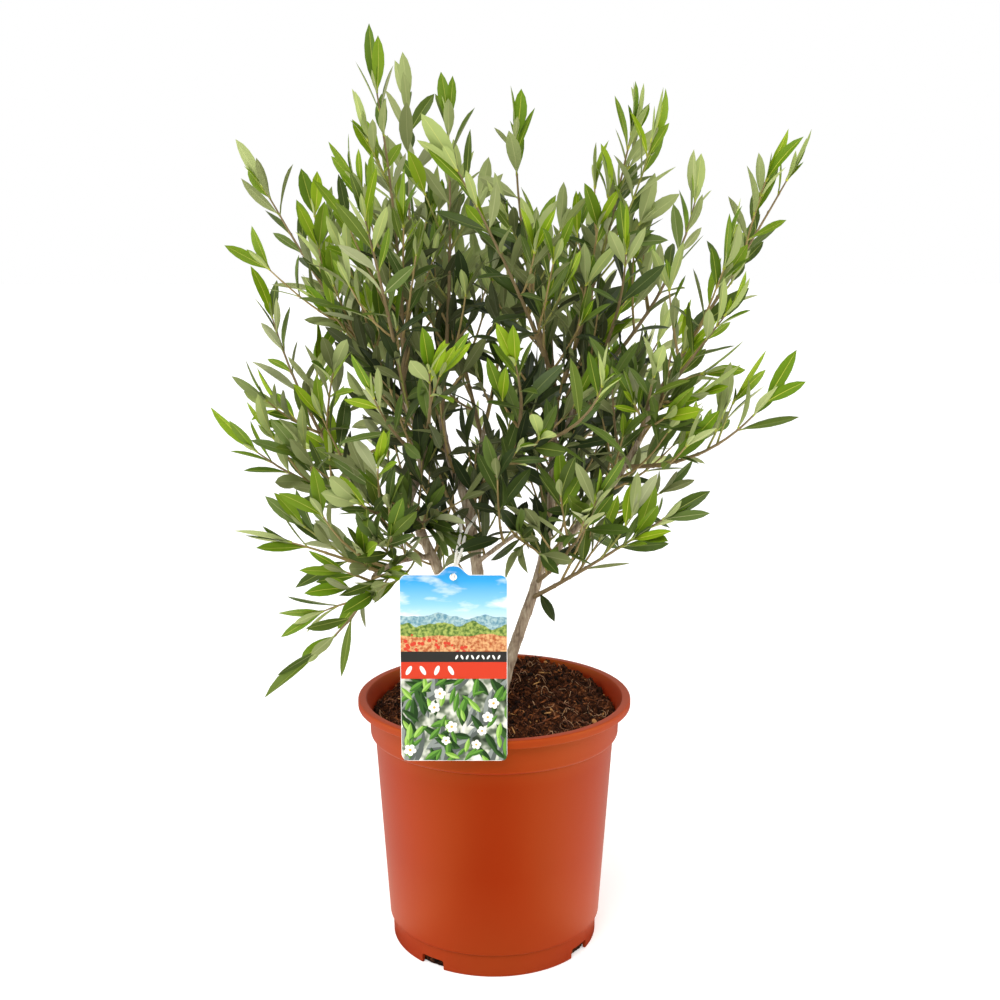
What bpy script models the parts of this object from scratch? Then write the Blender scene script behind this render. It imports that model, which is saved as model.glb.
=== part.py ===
"""A young olive tree in a plastic nursery pot, with its hang label.

Units are metres, +Z is up, and the origin is the middle of the pot's underside.
The pot's axis is the Z axis, and the label hangs over the rim on the -Y side.
"""

import math
import random

import bmesh
import bpy
import numpy as np
from mathutils import Matrix, Vector

MM = 0.001
GAP = 0.3 * MM                 # clearance between pieces that touch
UP = Vector((0.0, 0.0, 1.0))

# Nursery pot, 21 cm across the rim.
POT_HEIGHT = 193.0 * MM
RIM_RADIUS = 105.0 * MM
RIM_DEPTH = 6.0 * MM           # height of the lip's outer edge
RIM_MOUTH = 98.5 * MM          # radius of the opening
COLLAR_DEPTH = 29.0 * MM       # from the top down to the collar's lower step
COLLAR_RADIUS = 95.7 * MM
BODY_TOP_RADIUS = 92.1 * MM
BODY_FOOT_RADIUS = 82.6 * MM
STEP_HEIGHT = 18.0 * MM        # the body steps in to the foot ring here
FOOT_TOP_RADIUS = 80.4 * MM
FOOT_RADIUS = 79.9 * MM
POT_WALL = 1.9 * MM
FLOOR_TOP = 10.0 * MM
FLOOR_UNDERSIDE = 8.0 * MM
FOOT_RING_WIDTH = 2.6 * MM
PAD_RADIUS = 18.0 * MM         # gate boss in the middle of the underside
POT_SIDES = 36
NOTCH_COUNT = 4
NOTCH_FIRST = math.radians(-125.5)
NOTCH_WIDTH = 20.0 * MM
NOTCH_HEIGHT = 7.4 * MM

# Soil: a plug that fills the pot, domed towards the stems.
SOIL_TOP = 185.7 * MM
SOIL_FLAT = 28.0 * MM          # level disc that the stems rise from
SOIL_EDGE_DROP = 9.0 * MM
SOIL_SHOULDER = 0.72           # share of the radius where the dome has lost this share of its drop:
SOIL_SHOULDER_DROP = 0.42
SOIL_CLEARANCE = 0.5 * MM
SOIL_SIDES = 20

# Hang label: a plastic card with a rounded tab at its top edge.
LABEL_WIDTH = 73.5 * MM
LABEL_HEIGHT = 133.0 * MM
LABEL_THICKNESS = 0.6 * MM
LABEL_CORNER = 5.0 * MM
LABEL_TAB_WIDTH = 23.0 * MM
LABEL_TAB_HEIGHT = 6.3 * MM
LABEL_HOLE_RADIUS = 2.5 * MM
LABEL_HOLE_DROP = 1.5 * MM     # hole centre below the top edge
LABEL_MIDDLE = Vector((-27.3 * MM, -105.8 * MM, 179.6 * MM))   # middle of the lower edge
STRING_RADIUS = 0.7 * MM
STRING_POINTS = 30
STRING_HOLD = 0.86             # the loop goes round the middle stem here
STRING_REACH = 7.2 * MM        # radius of the loop round that stem
STRING_KNOT = 0.62             # share of the way down at which the two strands meet

# Limbs. Each is one tapering piece along a parabola. A row gives the limb it starts from, the place
# along it (0 foot, 1 tip), the limb's tip, its bow (how far its middle stands off the straight line),
# and its radii at foot and tip, in millimetres. The stems start at a foot on the soil instead, and
# a sway bends each of them one way low down and the other way higher up.
STEMS = {
    "stem_right": ((3, -5), (44, 10, 385), (5, 2, -18), (-4, 0, 0), 5.2, 2.8),
    "stem_middle": ((-5, 7), (-22, -14, 351), (1, -4, 22), (0, 0, 0), 5.0, 3.7),
    "stem_left": ((-11, -6), (-65, -8, 344), (-1, 3, 19), (2, 0, 0), 4.8, 3.4),
}
BOUGHS = {
    "bough_left": ("stem_left", 0.93, (-106, 0, 349), (0, -2, 2), 2.5, 2.0),
    "bough_left_low": ("stem_left", 0.62, (-87, -48, 298), (-1, -8, 6), 2.2, 1.7),
    "bough_left_rising": ("stem_left", 1, (-52, -16, 390), (4, -2, 3), 3.1, 2.6),
    "bough_top_left": ("bough_left_rising", 1, (-67, -12, 429), (-1, 0, 1), 2.5, 2.2),
    "bough_back_left": ("bough_left_rising", 0.55, (-77, 42, 407), (3, 8, -1), 2.1, 1.7),
    "bough_middle_left": ("stem_middle", 1, (-39, -4, 410), (-3, -1, 0), 3.0, 2.4),
    "bough_middle_right": ("stem_middle", 0.97, (14, -44, 391), (1, -1, 4), 2.6, 2.0),
    "bough_low": ("stem_middle", 0.55, (17, -42, 328), (3, -7, 4), 1.9, 1.5),
    "bough_back_middle": ("stem_middle", 0.75, (-8, 50, 392), (-2, 7, -2), 2.5, 1.9),
    "bough_right_top": ("stem_right", 1, (46, -4, 428), (1, 1, 0), 2.8, 2.4),
    "bough_right": ("stem_right", 0.62, (97, -18, 376), (13, -2, 12), 3.0, 2.4),
    "bough_right_far": ("bough_right", 1, (114, -20, 419), (4, -1, 2), 2.3, 2.0),
    "bough_right_upper": ("stem_right", 0.93, (76, 12, 436), (-1, -3, 9), 2.3, 1.9),
    "bough_back_right": ("stem_right", 0.70, (77, 56, 391), (1, 2, 18), 2.4, 1.9),
}

# Foliage masses. A row gives the limb that a mass grows from, the place along it, its furthest leaf
# tip and the bow of its leader, in millimetres.
MASSES = {
    "foliage_left_hanging": ("bough_left_low", 1, (-162, -92, 221), (16, 0, 5)),
    "foliage_left_low": ("bough_left_low", 0.90, (-181, -80, 340), (3, 1, 1)),
    "foliage_left_middle": ("bough_left", 1, (-208, -24, 416), (1, 2, -13)),
    "foliage_left_outer": ("bough_left", 0.80, (-182, 52, 521), (-16, 9, -18)),
    "foliage_left_top": ("bough_top_left", 0.45, (-196, 62, 613), (-3, 10, -6)),
    "foliage_left_front": ("bough_top_left", 0.75, (-92, -92, 580), (1, -10, 6)),
    "foliage_top_left": ("bough_top_left", 1, (-89, -24, 684), (8, 0, -13)),
    "foliage_top_left_back": ("bough_top_left", 0.90, (-69, 86, 681), (2, 23, -4)),
    "foliage_top_middle_left": ("bough_middle_left", 1, (-36, 26, 659), (5, 3, 3)),
    "foliage_top_diagonal": ("bough_right_top", 1, (-45, -86, 618), (9, -7, -6)),
    "foliage_top_middle": ("bough_right_top", 0.90, (15, -6, 645), (-9, 6, 3)),
    "foliage_top_gap": ("bough_right_top", 0.50, (43, 70, 557), (-2, 9, 11)),
    "foliage_top_right": ("bough_right_top", 0.75, (103, -22, 645), (7, 15, 6)),
    "foliage_right_upper": ("bough_right_upper", 1, (158, 54, 603), (17, 1, -4)),
    "foliage_right_middle": ("bough_right_upper", 0.75, (87, -66, 559), (13, 2, 3)),
    "foliage_right_far": ("bough_right_far", 1, (227, -14, 613), (3, 5, 0)),
    "foliage_right_outer": ("bough_right_far", 0.85, (175, -76, 510), (4, -4, 6)),
    "foliage_right_sweep": ("bough_right", 0.93, (212, -56, 461), (9, -10, -21)),
    "foliage_right_front": ("bough_right_far", 0.35, (111, -104, 470), (-1, -10, 2)),
    "foliage_right_low": ("stem_right", 0.50, (147, -80, 367), (-3, -14, -1)),
    "foliage_front_low": ("stem_right", 0.56, (73, -108, 387), (10, -17, 2)),
    "foliage_front_left": ("bough_left_rising", 0.90, (-45, -116, 479), (5, -10, -4)),
    "foliage_front_far_left": ("bough_left_rising", 0.75, (-89, -120, 464), (-2, -6, -11)),
    "foliage_front_low_left": ("bough_left", 0.35, (-110, -110, 382), (8, -8, -14)),
    "foliage_front_middle": ("bough_middle_right", 1, (2, -124, 484), (10, -2, 0)),
    "foliage_front_right": ("bough_middle_right", 0.90, (72, -138, 472), (20, -2, -11)),
    "foliage_low_middle": ("bough_low", 0.90, (43, -96, 312), (7, 3, -4)),
    "foliage_inner_left": ("stem_left", 0.78, (-19, -78, 347), (-10, -2, 4)),
    "foliage_inner_low_left": ("bough_left_low", 0.45, (-90, -104, 356), (-2, -4, -5)),
    "foliage_inner_back": ("stem_middle", 0.62, (-75, 96, 310), (8, -3, 15)),
    "foliage_back_left_low": ("bough_back_left", 0.70, (-174, 136, 381), (2, 12, -24)),
    "foliage_back_left": ("bough_back_left", 1, (-148, 142, 531), (-9, 12, 6)),
    "foliage_back_top": ("bough_back_middle", 0.90, (-54, 140, 572), (-5, 15, 13)),
    "foliage_back_middle": ("bough_back_middle", 1, (9, 160, 561), (8, 15, 6)),
    "foliage_back_low": ("bough_back_middle", 0.60, (22, 162, 369), (0, 15, -16)),
    "foliage_back_top_right": ("bough_back_right", 0.80, (87, 132, 572), (-1, 8, -4)),
    "foliage_back_right": ("bough_back_right", 1, (158, 158, 490), (4, 15, -8)),
    "foliage_back_low_right": ("bough_back_right", 0.60, (143, 150, 370), (2, 10, -22)),
}

LIMB_SIDES = 6
LIMB_RING_SPACING = 18.0 * MM
FLARE_HEIGHT = 12.0 * MM       # root flare at the foot of a stem
FLARE_SPREAD = 0.45

# The growing rule: leaves and side shoots leave a twig in opposite pairs, each pair a quarter turn on.
LEAF_LENGTH = 56.0 * MM
LENGTH_RANGE = (0.88, 1.1)     # leaves' lengths vary by these factors
LEAF_WIDTH = 18.0 * MM
LEAF_THICKNESS = 1.0 * MM
LEAF_WIDEST = 0.50             # place of the greatest width along the leaf
LEAF_SINK = 0.4                # share of the twig's radius that a root passes its axis by
LEAF_ANGLES = [math.radians(a) for a in (46.0, 34.0, 22.0)]
LEAF_SHARES = [1.0, 0.85, 0.7]         # lengths tried, with the angles, until the leaf fits
LEAF_LIFT = 0.28               # how strongly a leaf turns up to the light
LEAF_ROLL = math.radians(70.0)
TIP_LEAF_LENGTH = 40.0 * MM
TIP_PAIR_LENGTH = 36.0 * MM
TIP_ANGLES = [math.radians(22.0)]
TIP_DROP = 3.0 * MM            # the small pair sits this far below a twig's tip
BACK_FROM = 60.0 * MM          # tip leaves beyond this Y face backwards, the others forwards
SHOOT_ANGLE = math.radians(50.0)
SHOOT_LIFT = 0.30              # share of a shoot's length that its tip is drawn up by
NODE_SPACING = 28.0 * MM
FIRST_NODE = 16.0 * MM
LAST_NODE_DROP = 10.0 * MM     # no pair sits nearer to a twig's tip than this
SHOOT_FROM = 40.0 * MM         # side shoots start at least this far below a leader's tip
SHOOT_LONGEST = 66.0 * MM
SHOOT_SHORTEST = 20.0 * MM
SHOOT_BASE = 16.0 * MM         # a shoot is this long plus a share of the twig left above it
SHOOT_SHARE = 0.55
SHOOT_RANGE = (0.85, 1.1)
SHOOT_RADIUS = 1.2 * MM
SHOOT_FIRST_NODE = 17.0 * MM
SHOOT_CUT = 0.75               # a shoot that doesn't fit is tried again at this share of its length
HANGING = -0.4                 # a shoot that would point further down than this is left out
TWIG_TIP_RADIUS = 0.9 * MM
TWIG_LARGEST_RADIUS = 2.0 * MM
TWIG_SIDES = 3
TWIG_RING_SPACING = 45.0 * MM
SPACE_WIDTH = 54.0 * MM        # nothing reaches further from its own leader than this
SPACE_MARGIN = 0.5 * MM
LEADER_CLEARANCE = 2.8 * MM
SAMPLE_SPACING = 3.0 * MM


# ---------------------------------------------------------------- materials and objects

def srgb(code):
    """A linear colour from a hex sRGB code."""
    parts = [int(code[i:i + 2], 16) / 255.0 for i in (1, 3, 5)]
    linear = [c / 12.92 if c <= 0.04045 else ((c + 0.055) / 1.055) ** 2.4 for c in parts]
    return (*linear, 1.0)


def material(name, code, roughness):
    """A plain material of one colour."""
    made = bpy.data.materials.new(name)
    made.use_nodes = True
    shader = made.node_tree.nodes["Principled BSDF"]
    shader.inputs["Base Color"].default_value = srgb(code)
    shader.inputs["Roughness"].default_value = roughness
    shader.inputs["Metallic"].default_value = 0.0
    made.diffuse_color = srgb(code)
    return made


def add_object(name, mesh, surface=None, collection=None):
    """Put a mesh in the scene as an object of its own."""
    made = bpy.data.objects.new(name, mesh)
    if surface is not None:
        mesh.materials.append(surface)
    (collection or bpy.context.scene.collection).objects.link(made)
    return made


def mesh_from(name, work):
    """Turn a bmesh into a mesh whose faces point outwards."""
    bmesh.ops.recalc_face_normals(work, faces=work.faces)
    mesh = bpy.data.meshes.new(name)
    work.to_mesh(mesh)
    work.free()
    return mesh


def turned(name, profile, sides, surface):
    """A turned solid from a closed (radius, height) profile whose ends lie on the axis."""
    work = bmesh.new()
    corners = [work.verts.new((radius, 0.0, height)) for radius, height in profile]
    edges = [work.edges.new(pair) for pair in zip(corners, corners[1:])]
    bmesh.ops.spin(work, geom=corners + edges, cent=(0, 0, 0), axis=UP, angle=math.tau,
                   steps=sides, use_merge=True)
    bmesh.ops.remove_doubles(work, verts=work.verts, dist=1e-6)
    made = add_object(name, mesh_from(name, work), surface)
    made.data.shade_smooth()
    made.data.set_sharp_from_angle(angle=math.radians(40.0))
    return made


def cut(target, cutter):
    """Subtract a cutter, which stays hidden, from an object."""
    cutter.hide_render = True
    cutter.display_type = 'WIRE'
    modifier = target.modifiers.new("Cut by " + cutter.name, 'BOOLEAN')
    modifier.operation = 'DIFFERENCE'
    modifier.solver = 'EXACT'
    modifier.object = cutter


# ---------------------------------------------------------------- pot, soil and label

def pot_outer_profile():
    """Outer side of the pot, from the foot up to the mouth."""
    collar_foot = POT_HEIGHT - COLLAR_DEPTH
    rim_foot = POT_HEIGHT - RIM_DEPTH
    round_over = 1.3 * MM
    return [
        (FOOT_RADIUS, 0.0),
        (FOOT_TOP_RADIUS, STEP_HEIGHT - 0.6 * MM),
        (BODY_FOOT_RADIUS - 0.7 * MM, STEP_HEIGHT),
        (BODY_FOOT_RADIUS, STEP_HEIGHT + 1.6 * MM),
        (BODY_TOP_RADIUS, collar_foot),
        (COLLAR_RADIUS - 0.6 * MM, collar_foot + 0.4 * MM),
        (COLLAR_RADIUS, collar_foot + 1.6 * MM),
        (COLLAR_RADIUS + 0.6 * MM, rim_foot),
        (RIM_RADIUS - round_over, rim_foot),
        (RIM_RADIUS, rim_foot + round_over),
        (RIM_RADIUS, POT_HEIGHT - round_over),
        (RIM_RADIUS - round_over, POT_HEIGHT),
        (RIM_MOUTH + round_over, POT_HEIGHT),
        (RIM_MOUTH, POT_HEIGHT - round_over),
    ]


def pot_inner_profile():
    """Inner side of the pot, from the mouth down to the edge of the floor."""
    collar_foot = POT_HEIGHT - COLLAR_DEPTH
    return [
        (COLLAR_RADIUS - POT_WALL + 0.4 * MM, POT_HEIGHT - RIM_DEPTH - POT_WALL),
        (COLLAR_RADIUS - POT_WALL, collar_foot + POT_WALL),
        (BODY_TOP_RADIUS - POT_WALL, collar_foot - POT_WALL),
        (BODY_FOOT_RADIUS - POT_WALL, STEP_HEIGHT + 2.0 * POT_WALL),
        (FOOT_TOP_RADIUS - POT_WALL, FLOOR_TOP),
    ]


def build_pot():
    """The pot: lip, collar, tapering wall, foot ring with drain notches, raised floor."""
    underside = [
        (0.0, 0.0),
        (PAD_RADIUS, 0.0),
        (PAD_RADIUS, FLOOR_UNDERSIDE),
        (FOOT_RADIUS - FOOT_RING_WIDTH, FLOOR_UNDERSIDE),
        (FOOT_RADIUS - FOOT_RING_WIDTH, 0.0),
    ]
    profile = underside + pot_outer_profile() + pot_inner_profile() + [(0.0, FLOOR_TOP)]
    terracotta = material("pot_plastic", "#B84826", 0.38)
    pot = turned("pot", profile, POT_SIDES, terracotta)
    for index in range(NOTCH_COUNT):
        angle = NOTCH_FIRST + index * math.tau / NOTCH_COUNT
        work = bmesh.new()
        bmesh.ops.create_cube(work, size=1.0)
        size = Vector((4.0 * FOOT_RING_WIDTH, NOTCH_WIDTH, 2.0 * NOTCH_HEIGHT))
        bmesh.ops.scale(work, vec=size, verts=work.verts)
        cutter = add_object("notch_cutter_%d" % (index + 1), mesh_from("notch", work))
        cutter.location = (FOOT_RADIUS * math.cos(angle), FOOT_RADIUS * math.sin(angle), 0.0)
        cutter.rotation_euler = (0.0, 0.0, angle)
        cut(pot, cutter)
    return pot


def build_soil():
    """The soil: it follows the pot's inner side with a little clearance."""
    edge_height = SOIL_TOP - SOIL_EDGE_DROP
    collar_inner = COLLAR_RADIUS - POT_WALL
    side = [(radius - SOIL_CLEARANCE, height) for radius, height in reversed(pot_inner_profile()[1:])]
    side[0] = (side[0][0], FLOOR_TOP + GAP)
    profile = [
        (0.0, FLOOR_TOP + GAP),
        *side,
        (collar_inner - SOIL_CLEARANCE, edge_height),
        (SOIL_SHOULDER * collar_inner, SOIL_TOP - SOIL_SHOULDER_DROP * SOIL_EDGE_DROP),
        (SOIL_FLAT, SOIL_TOP),
        (0.0, SOIL_TOP),
    ]
    return turned("soil", profile, SOIL_SIDES, material("potting_soil", "#2E1D16", 0.95))


def corner_arc(centre, radius, start, count=4):
    """Points of a quarter circle, anticlockwise from the start angle."""
    angles = (start + i * 0.5 * math.pi / count for i in range(count + 1))
    return [(centre[0] + radius * math.cos(a), centre[1] + radius * math.sin(a)) for a in angles]


def label_outline():
    """Outline of the card about the middle of its lower edge."""
    half = 0.5 * LABEL_WIDTH
    side = half - LABEL_CORNER
    top = LABEL_HEIGHT - LABEL_CORNER
    tab_half = 0.5 * LABEL_TAB_WIDTH
    count = 8
    tab = []
    for i in range(count + 1):
        place = 1.0 - 2.0 * i / count
        rise = 0.5 * (1.0 + math.cos(math.pi * abs(place) ** 1.4))
        tab.append((place * tab_half, LABEL_HEIGHT + LABEL_TAB_HEIGHT * rise))
    return (corner_arc((-side, LABEL_CORNER), LABEL_CORNER, math.pi)
            + corner_arc((side, LABEL_CORNER), LABEL_CORNER, -0.5 * math.pi)
            + corner_arc((side, top), LABEL_CORNER, 0.0)
            + tab
            + corner_arc((-side, top), LABEL_CORNER, 0.5 * math.pi))


def label_hole():
    """Centre of the label's hole."""
    return LABEL_MIDDLE + Vector((0.0, 0.0, LABEL_HEIGHT - LABEL_HOLE_DROP))


def build_label():
    """The card that hangs over the rim."""
    work = bmesh.new()
    back = 0.5 * LABEL_THICKNESS
    face = work.faces.new([work.verts.new((x, back, z)) for x, z in label_outline()])
    moved = bmesh.ops.extrude_face_region(work, geom=[face])
    front = [item for item in moved["geom"] if isinstance(item, bmesh.types.BMVert)]
    bmesh.ops.translate(work, vec=(0.0, -LABEL_THICKNESS, 0.0), verts=front)
    label = add_object("label", mesh_from("label", work), material("label_plastic", "#4F86B5", 0.35))
    label.location = LABEL_MIDDLE
    work = bmesh.new()
    bmesh.ops.create_cone(work, cap_ends=True, segments=16, radius1=LABEL_HOLE_RADIUS,
                          radius2=LABEL_HOLE_RADIUS, depth=4.0 * LABEL_THICKNESS,
                          matrix=Matrix.Rotation(0.5 * math.pi, 4, 'X'))
    punch = add_object("label_punch", mesh_from("label_punch", work))
    punch.location = label_hole()
    cut(label, punch)
    return label


def closed_curve(points, count):
    """Evenly numbered points of a smooth closed curve through the points given."""
    total = len(points)
    made = []
    for i in range(count):
        place = i * total / count
        k = int(place)
        t = place - k
        a, b, c, d = (points[(k + j - 1) % total] for j in range(4))
        made.append(0.5 * ((2.0 * b) + (c - a) * t + (2.0 * a - 5.0 * b + 4.0 * c - d) * t * t
                           + (3.0 * b - a - 3.0 * c + d) * t ** 3))
    return made


def string_route(stem):
    """Points of the string: a closed loop through the label's hole and round the middle stem."""
    hole = label_hole()
    hold = stem.at(STRING_HOLD)
    pull = (hole - hold).normalized()
    across = pull.cross(UP).normalized()
    drop = hole - hold
    knot = hold + STRING_KNOT * drop
    points = [
        hole - UP * 0.9 * MM,
        hole + Vector((0.4 * MM, -2.2 * MM, 1.0 * MM)),
        knot + across * 1.6 * MM,
        hold + 0.3 * drop + across * 2.2 * MM,
        hold + across * STRING_REACH + pull * 0.5 * MM,
        hold - pull * STRING_REACH,
        hold - across * STRING_REACH + pull * 0.5 * MM,
        hold + 0.3 * drop - across * 2.2 * MM,
        knot - across * 1.6 * MM,
        hole + Vector((-0.4 * MM, 2.4 * MM, 1.0 * MM)),
    ]
    return closed_curve(points, STRING_POINTS)


def build_string(route):
    """The string as a closed tube."""
    curve = bpy.data.curves.new("label_string", 'CURVE')
    curve.dimensions = '3D'
    curve.bevel_depth = STRING_RADIUS
    curve.bevel_resolution = 0
    spline = curve.splines.new('POLY')
    spline.points.add(len(route) - 1)
    for slot, place in zip(spline.points, route):
        slot.co = (*place, 1.0)
    spline.use_cyclic_u = True
    return add_object("label_string", curve, material("white_string", "#E9E6DF", 0.8))


# ---------------------------------------------------------------- limbs

class Limb:
    """A tapering piece along a parabola from its foot to its reach."""

    def __init__(self, foot, reach, bow, foot_radius, tip_radius, sway=Vector()):
        self.foot = foot
        self.reach = reach
        self.bow = bow
        self.sway = sway
        self.foot_radius = foot_radius
        self.tip_radius = tip_radius
        self.length = sum((self.at((i + 1) / 16) - self.at(i / 16)).length for i in range(16))

    def at(self, t):
        """The point at a place along the limb."""
        straight = self.foot.lerp(self.reach, t)
        return straight + self.bow * (4.0 * t * (1.0 - t)) + self.sway * math.sin(math.tau * t)

    def heading(self, t):
        """The direction in which the limb runs at a place along it."""
        swaying = self.sway * (math.tau * math.cos(math.tau * t))
        return (self.reach - self.foot + self.bow * (4.0 - 8.0 * t) + swaying).normalized()

    def radius(self, t):
        """The radius at a place along the limb."""
        return self.foot_radius + (self.tip_radius - self.foot_radius) * t

    def part(self, share, foot_radius, tip_radius):
        """The first share of the limb as a limb of its own."""
        return Limb(self.foot, self.at(share), self.bow * share * share, foot_radius, tip_radius)

    def samples(self, spacing=SAMPLE_SPACING):
        """Evenly spaced (point, radius) pairs along the limb."""
        count = max(2, math.ceil(self.length / spacing))
        return [(self.at(i / count), self.radius(i / count)) for i in range(count + 1)]


def ring(centre, heading, radius, sides, turn):
    """Corners of a ring square to the heading."""
    first = squared(turn, heading)
    second = heading.cross(first)
    angles = (i * math.tau / sides for i in range(sides))
    return [centre + radius * (first * math.cos(a) + second * math.sin(a)) for a in angles]


def tube_mesh(name, rings):
    """A closed tube through rings of equal corner counts."""
    work = bmesh.new()
    rows = [[work.verts.new(point) for point in corners] for corners in rings]
    sides = len(rows[0])
    for lower, upper in zip(rows, rows[1:]):
        for i in range(sides):
            j = (i + 1) % sides
            work.faces.new((lower[i], lower[j], upper[j], upper[i]))
    work.faces.new(reversed(rows[0]))
    work.faces.new(rows[-1])
    return mesh_from(name, work)


def squared(direction, heading):
    """A direction turned until it is square to the heading."""
    return (direction - heading * direction.dot(heading)).normalized()


def crosswise(heading):
    """A direction that lies across the heading."""
    return squared(Vector((1.0, 0.0, 0.0)) if abs(heading.x) < 0.8 else Vector((0.0, 1.0, 0.0)), heading)


def limb_rings(limb, start, start_heading, sides, spacing):
    """Rings along a limb from its start place to its tip."""
    turn = crosswise(limb.heading(0.5))
    count = max(2, math.ceil(limb.length * (1.0 - start) / spacing))
    rings = [ring(limb.at(start), start_heading or limb.heading(start), limb.radius(start), sides, turn)]
    for i in range(1, count + 1):
        t = start + (1.0 - start) * i / count
        rings.append(ring(limb.at(t), limb.heading(t), limb.radius(t), sides, turn))
    return rings


def clear_start(limb, parent, sides):
    """The place along a limb from which its rings are clear of the limb that it grows from."""
    trunk = parent.samples(1.0 * MM)
    turn = crosswise(limb.heading(0.5))
    for step in range(1, 400):
        t = step * 0.25 * MM / limb.length
        corners = ring(limb.at(t), limb.heading(t), limb.radius(t), sides, turn)
        room = min((corner - centre).length - radius for corner in corners for centre, radius in trunk)
        if room > 2.0 * GAP:
            return t
    raise ValueError("a limb never leaves its parent")


def stem_rings(stem):
    """Rings of a stem with a flat cut at the soil and a root flare above it."""
    spread = FLARE_SPREAD * stem.foot_radius
    turn = crosswise(UP)
    rings = [ring(stem.foot, UP, stem.foot_radius + spread, LIMB_SIDES, turn)]
    for share in (0.35, 1.0):
        t = share * FLARE_HEIGHT / stem.length
        wide = stem.radius(t) + spread * (1.0 - share) ** 2
        rings.append(ring(stem.at(t), stem.heading(t), wide, LIMB_SIDES, turn))
    count = math.ceil((stem.length - FLARE_HEIGHT) / LIMB_RING_SPACING)
    start = FLARE_HEIGHT / stem.length
    for i in range(1, count + 1):
        t = start + (1.0 - start) * i / count
        rings.append(ring(stem.at(t), stem.heading(t), stem.radius(t), LIMB_SIDES, turn))
    return rings


def grown_start(limb, parent, place, sides):
    """Where a limb's first ring goes, and which way it faces: on from a tip, or out of a side."""
    if place == 1:
        heading = parent.heading(1.0)
        limb.foot = parent.at(1.0) + heading * GAP
        return 0.0, heading
    return clear_start(limb, parent, sides), None


def build_limbs():
    """All stems and boughs, as objects, with the limbs that they follow."""
    bark = material("olive_bark", "#8C7B66", 0.85)
    limbs = {}
    for name, (foot, tip, bow, sway, foot_radius, tip_radius) in STEMS.items():
        start = Vector((foot[0] * MM, foot[1] * MM, SOIL_TOP + GAP))
        stem = Limb(start, Vector(tip) * MM, Vector(bow) * MM, foot_radius * MM, tip_radius * MM,
                    Vector(sway) * MM)
        limbs[name] = stem
        add_object(name, tube_mesh(name, stem_rings(stem)), bark)
    for name, (parent, place, tip, bow, foot_radius, tip_radius) in BOUGHS.items():
        foot = limbs[parent].at(place)
        bough = Limb(foot, Vector(tip) * MM, Vector(bow) * MM, foot_radius * MM, tip_radius * MM)
        start, heading = grown_start(bough, limbs[parent], place, LIMB_SIDES)
        limbs[name] = bough
        rings = limb_rings(bough, start, heading, LIMB_SIDES, LIMB_RING_SPACING)
        add_object(name, tube_mesh(name, rings), bark)
    return limbs


# ---------------------------------------------------------------- foliage

class Space:
    """Keeps each mass to the space nearer to its own leader than to any other, clear of limbs."""

    def __init__(self, leaders, limbs, string_points):
        self.names = list(leaders)
        samples = [(index, point) for index, leader in enumerate(leaders.values())
                   for point, radius in leader.samples()]
        self.owners = np.array([index for index, point in samples])
        self.points = np.array([tuple(point) for index, point in samples])
        wood = [sample for limb in limbs.values() for sample in limb.samples()]
        wood += [(point, 2.0 * STRING_RADIUS) for point in string_points]
        self.wood = np.array([tuple(point) for point, radius in wood])
        self.wood_radii = np.array([radius for point, radius in wood])

    def holds(self, name, points, half_width):
        """Whether all points lie in the mass's space with their half width to spare."""
        mine = self.owners == self.names.index(name)
        spare = half_width + SPACE_MARGIN
        for point in points:
            reach = np.linalg.norm(self.points - np.array(point), axis=1)
            own = reach[mine].min()
            rival = reach[~mine].min()
            if own > SPACE_WIDTH or rival - own < 2.0 * spare or rival < LEADER_CLEARANCE + half_width:
                return False
            if (np.linalg.norm(self.wood - np.array(point), axis=1) < self.wood_radii + spare).any():
                return False
        return True


def leaf_corners(root, heading, upper, length):
    """Corners of a leaf: a flat closed lens with its root, two edges, two faces and its tip."""
    side = heading.cross(upper).normalized()
    scale = length / LEAF_LENGTH
    middle = root + heading * (LEAF_WIDEST * length)
    half = side * (0.5 * LEAF_WIDTH * scale)
    thick = upper * (0.5 * LEAF_THICKNESS)
    return [root, middle + half, middle + thick, middle - half, middle - thick, root + heading * length]


def leaf_mesh(name, corners):
    """The leaf as a solid of eight faces."""
    work = bmesh.new()
    root, *belt, tip = [work.verts.new(corner) for corner in corners]
    for i in range(4):
        j = (i + 1) % 4
        work.faces.new((root, belt[j], belt[i]))
        work.faces.new((belt[i], belt[j], tip))
    return mesh_from(name, work)


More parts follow.
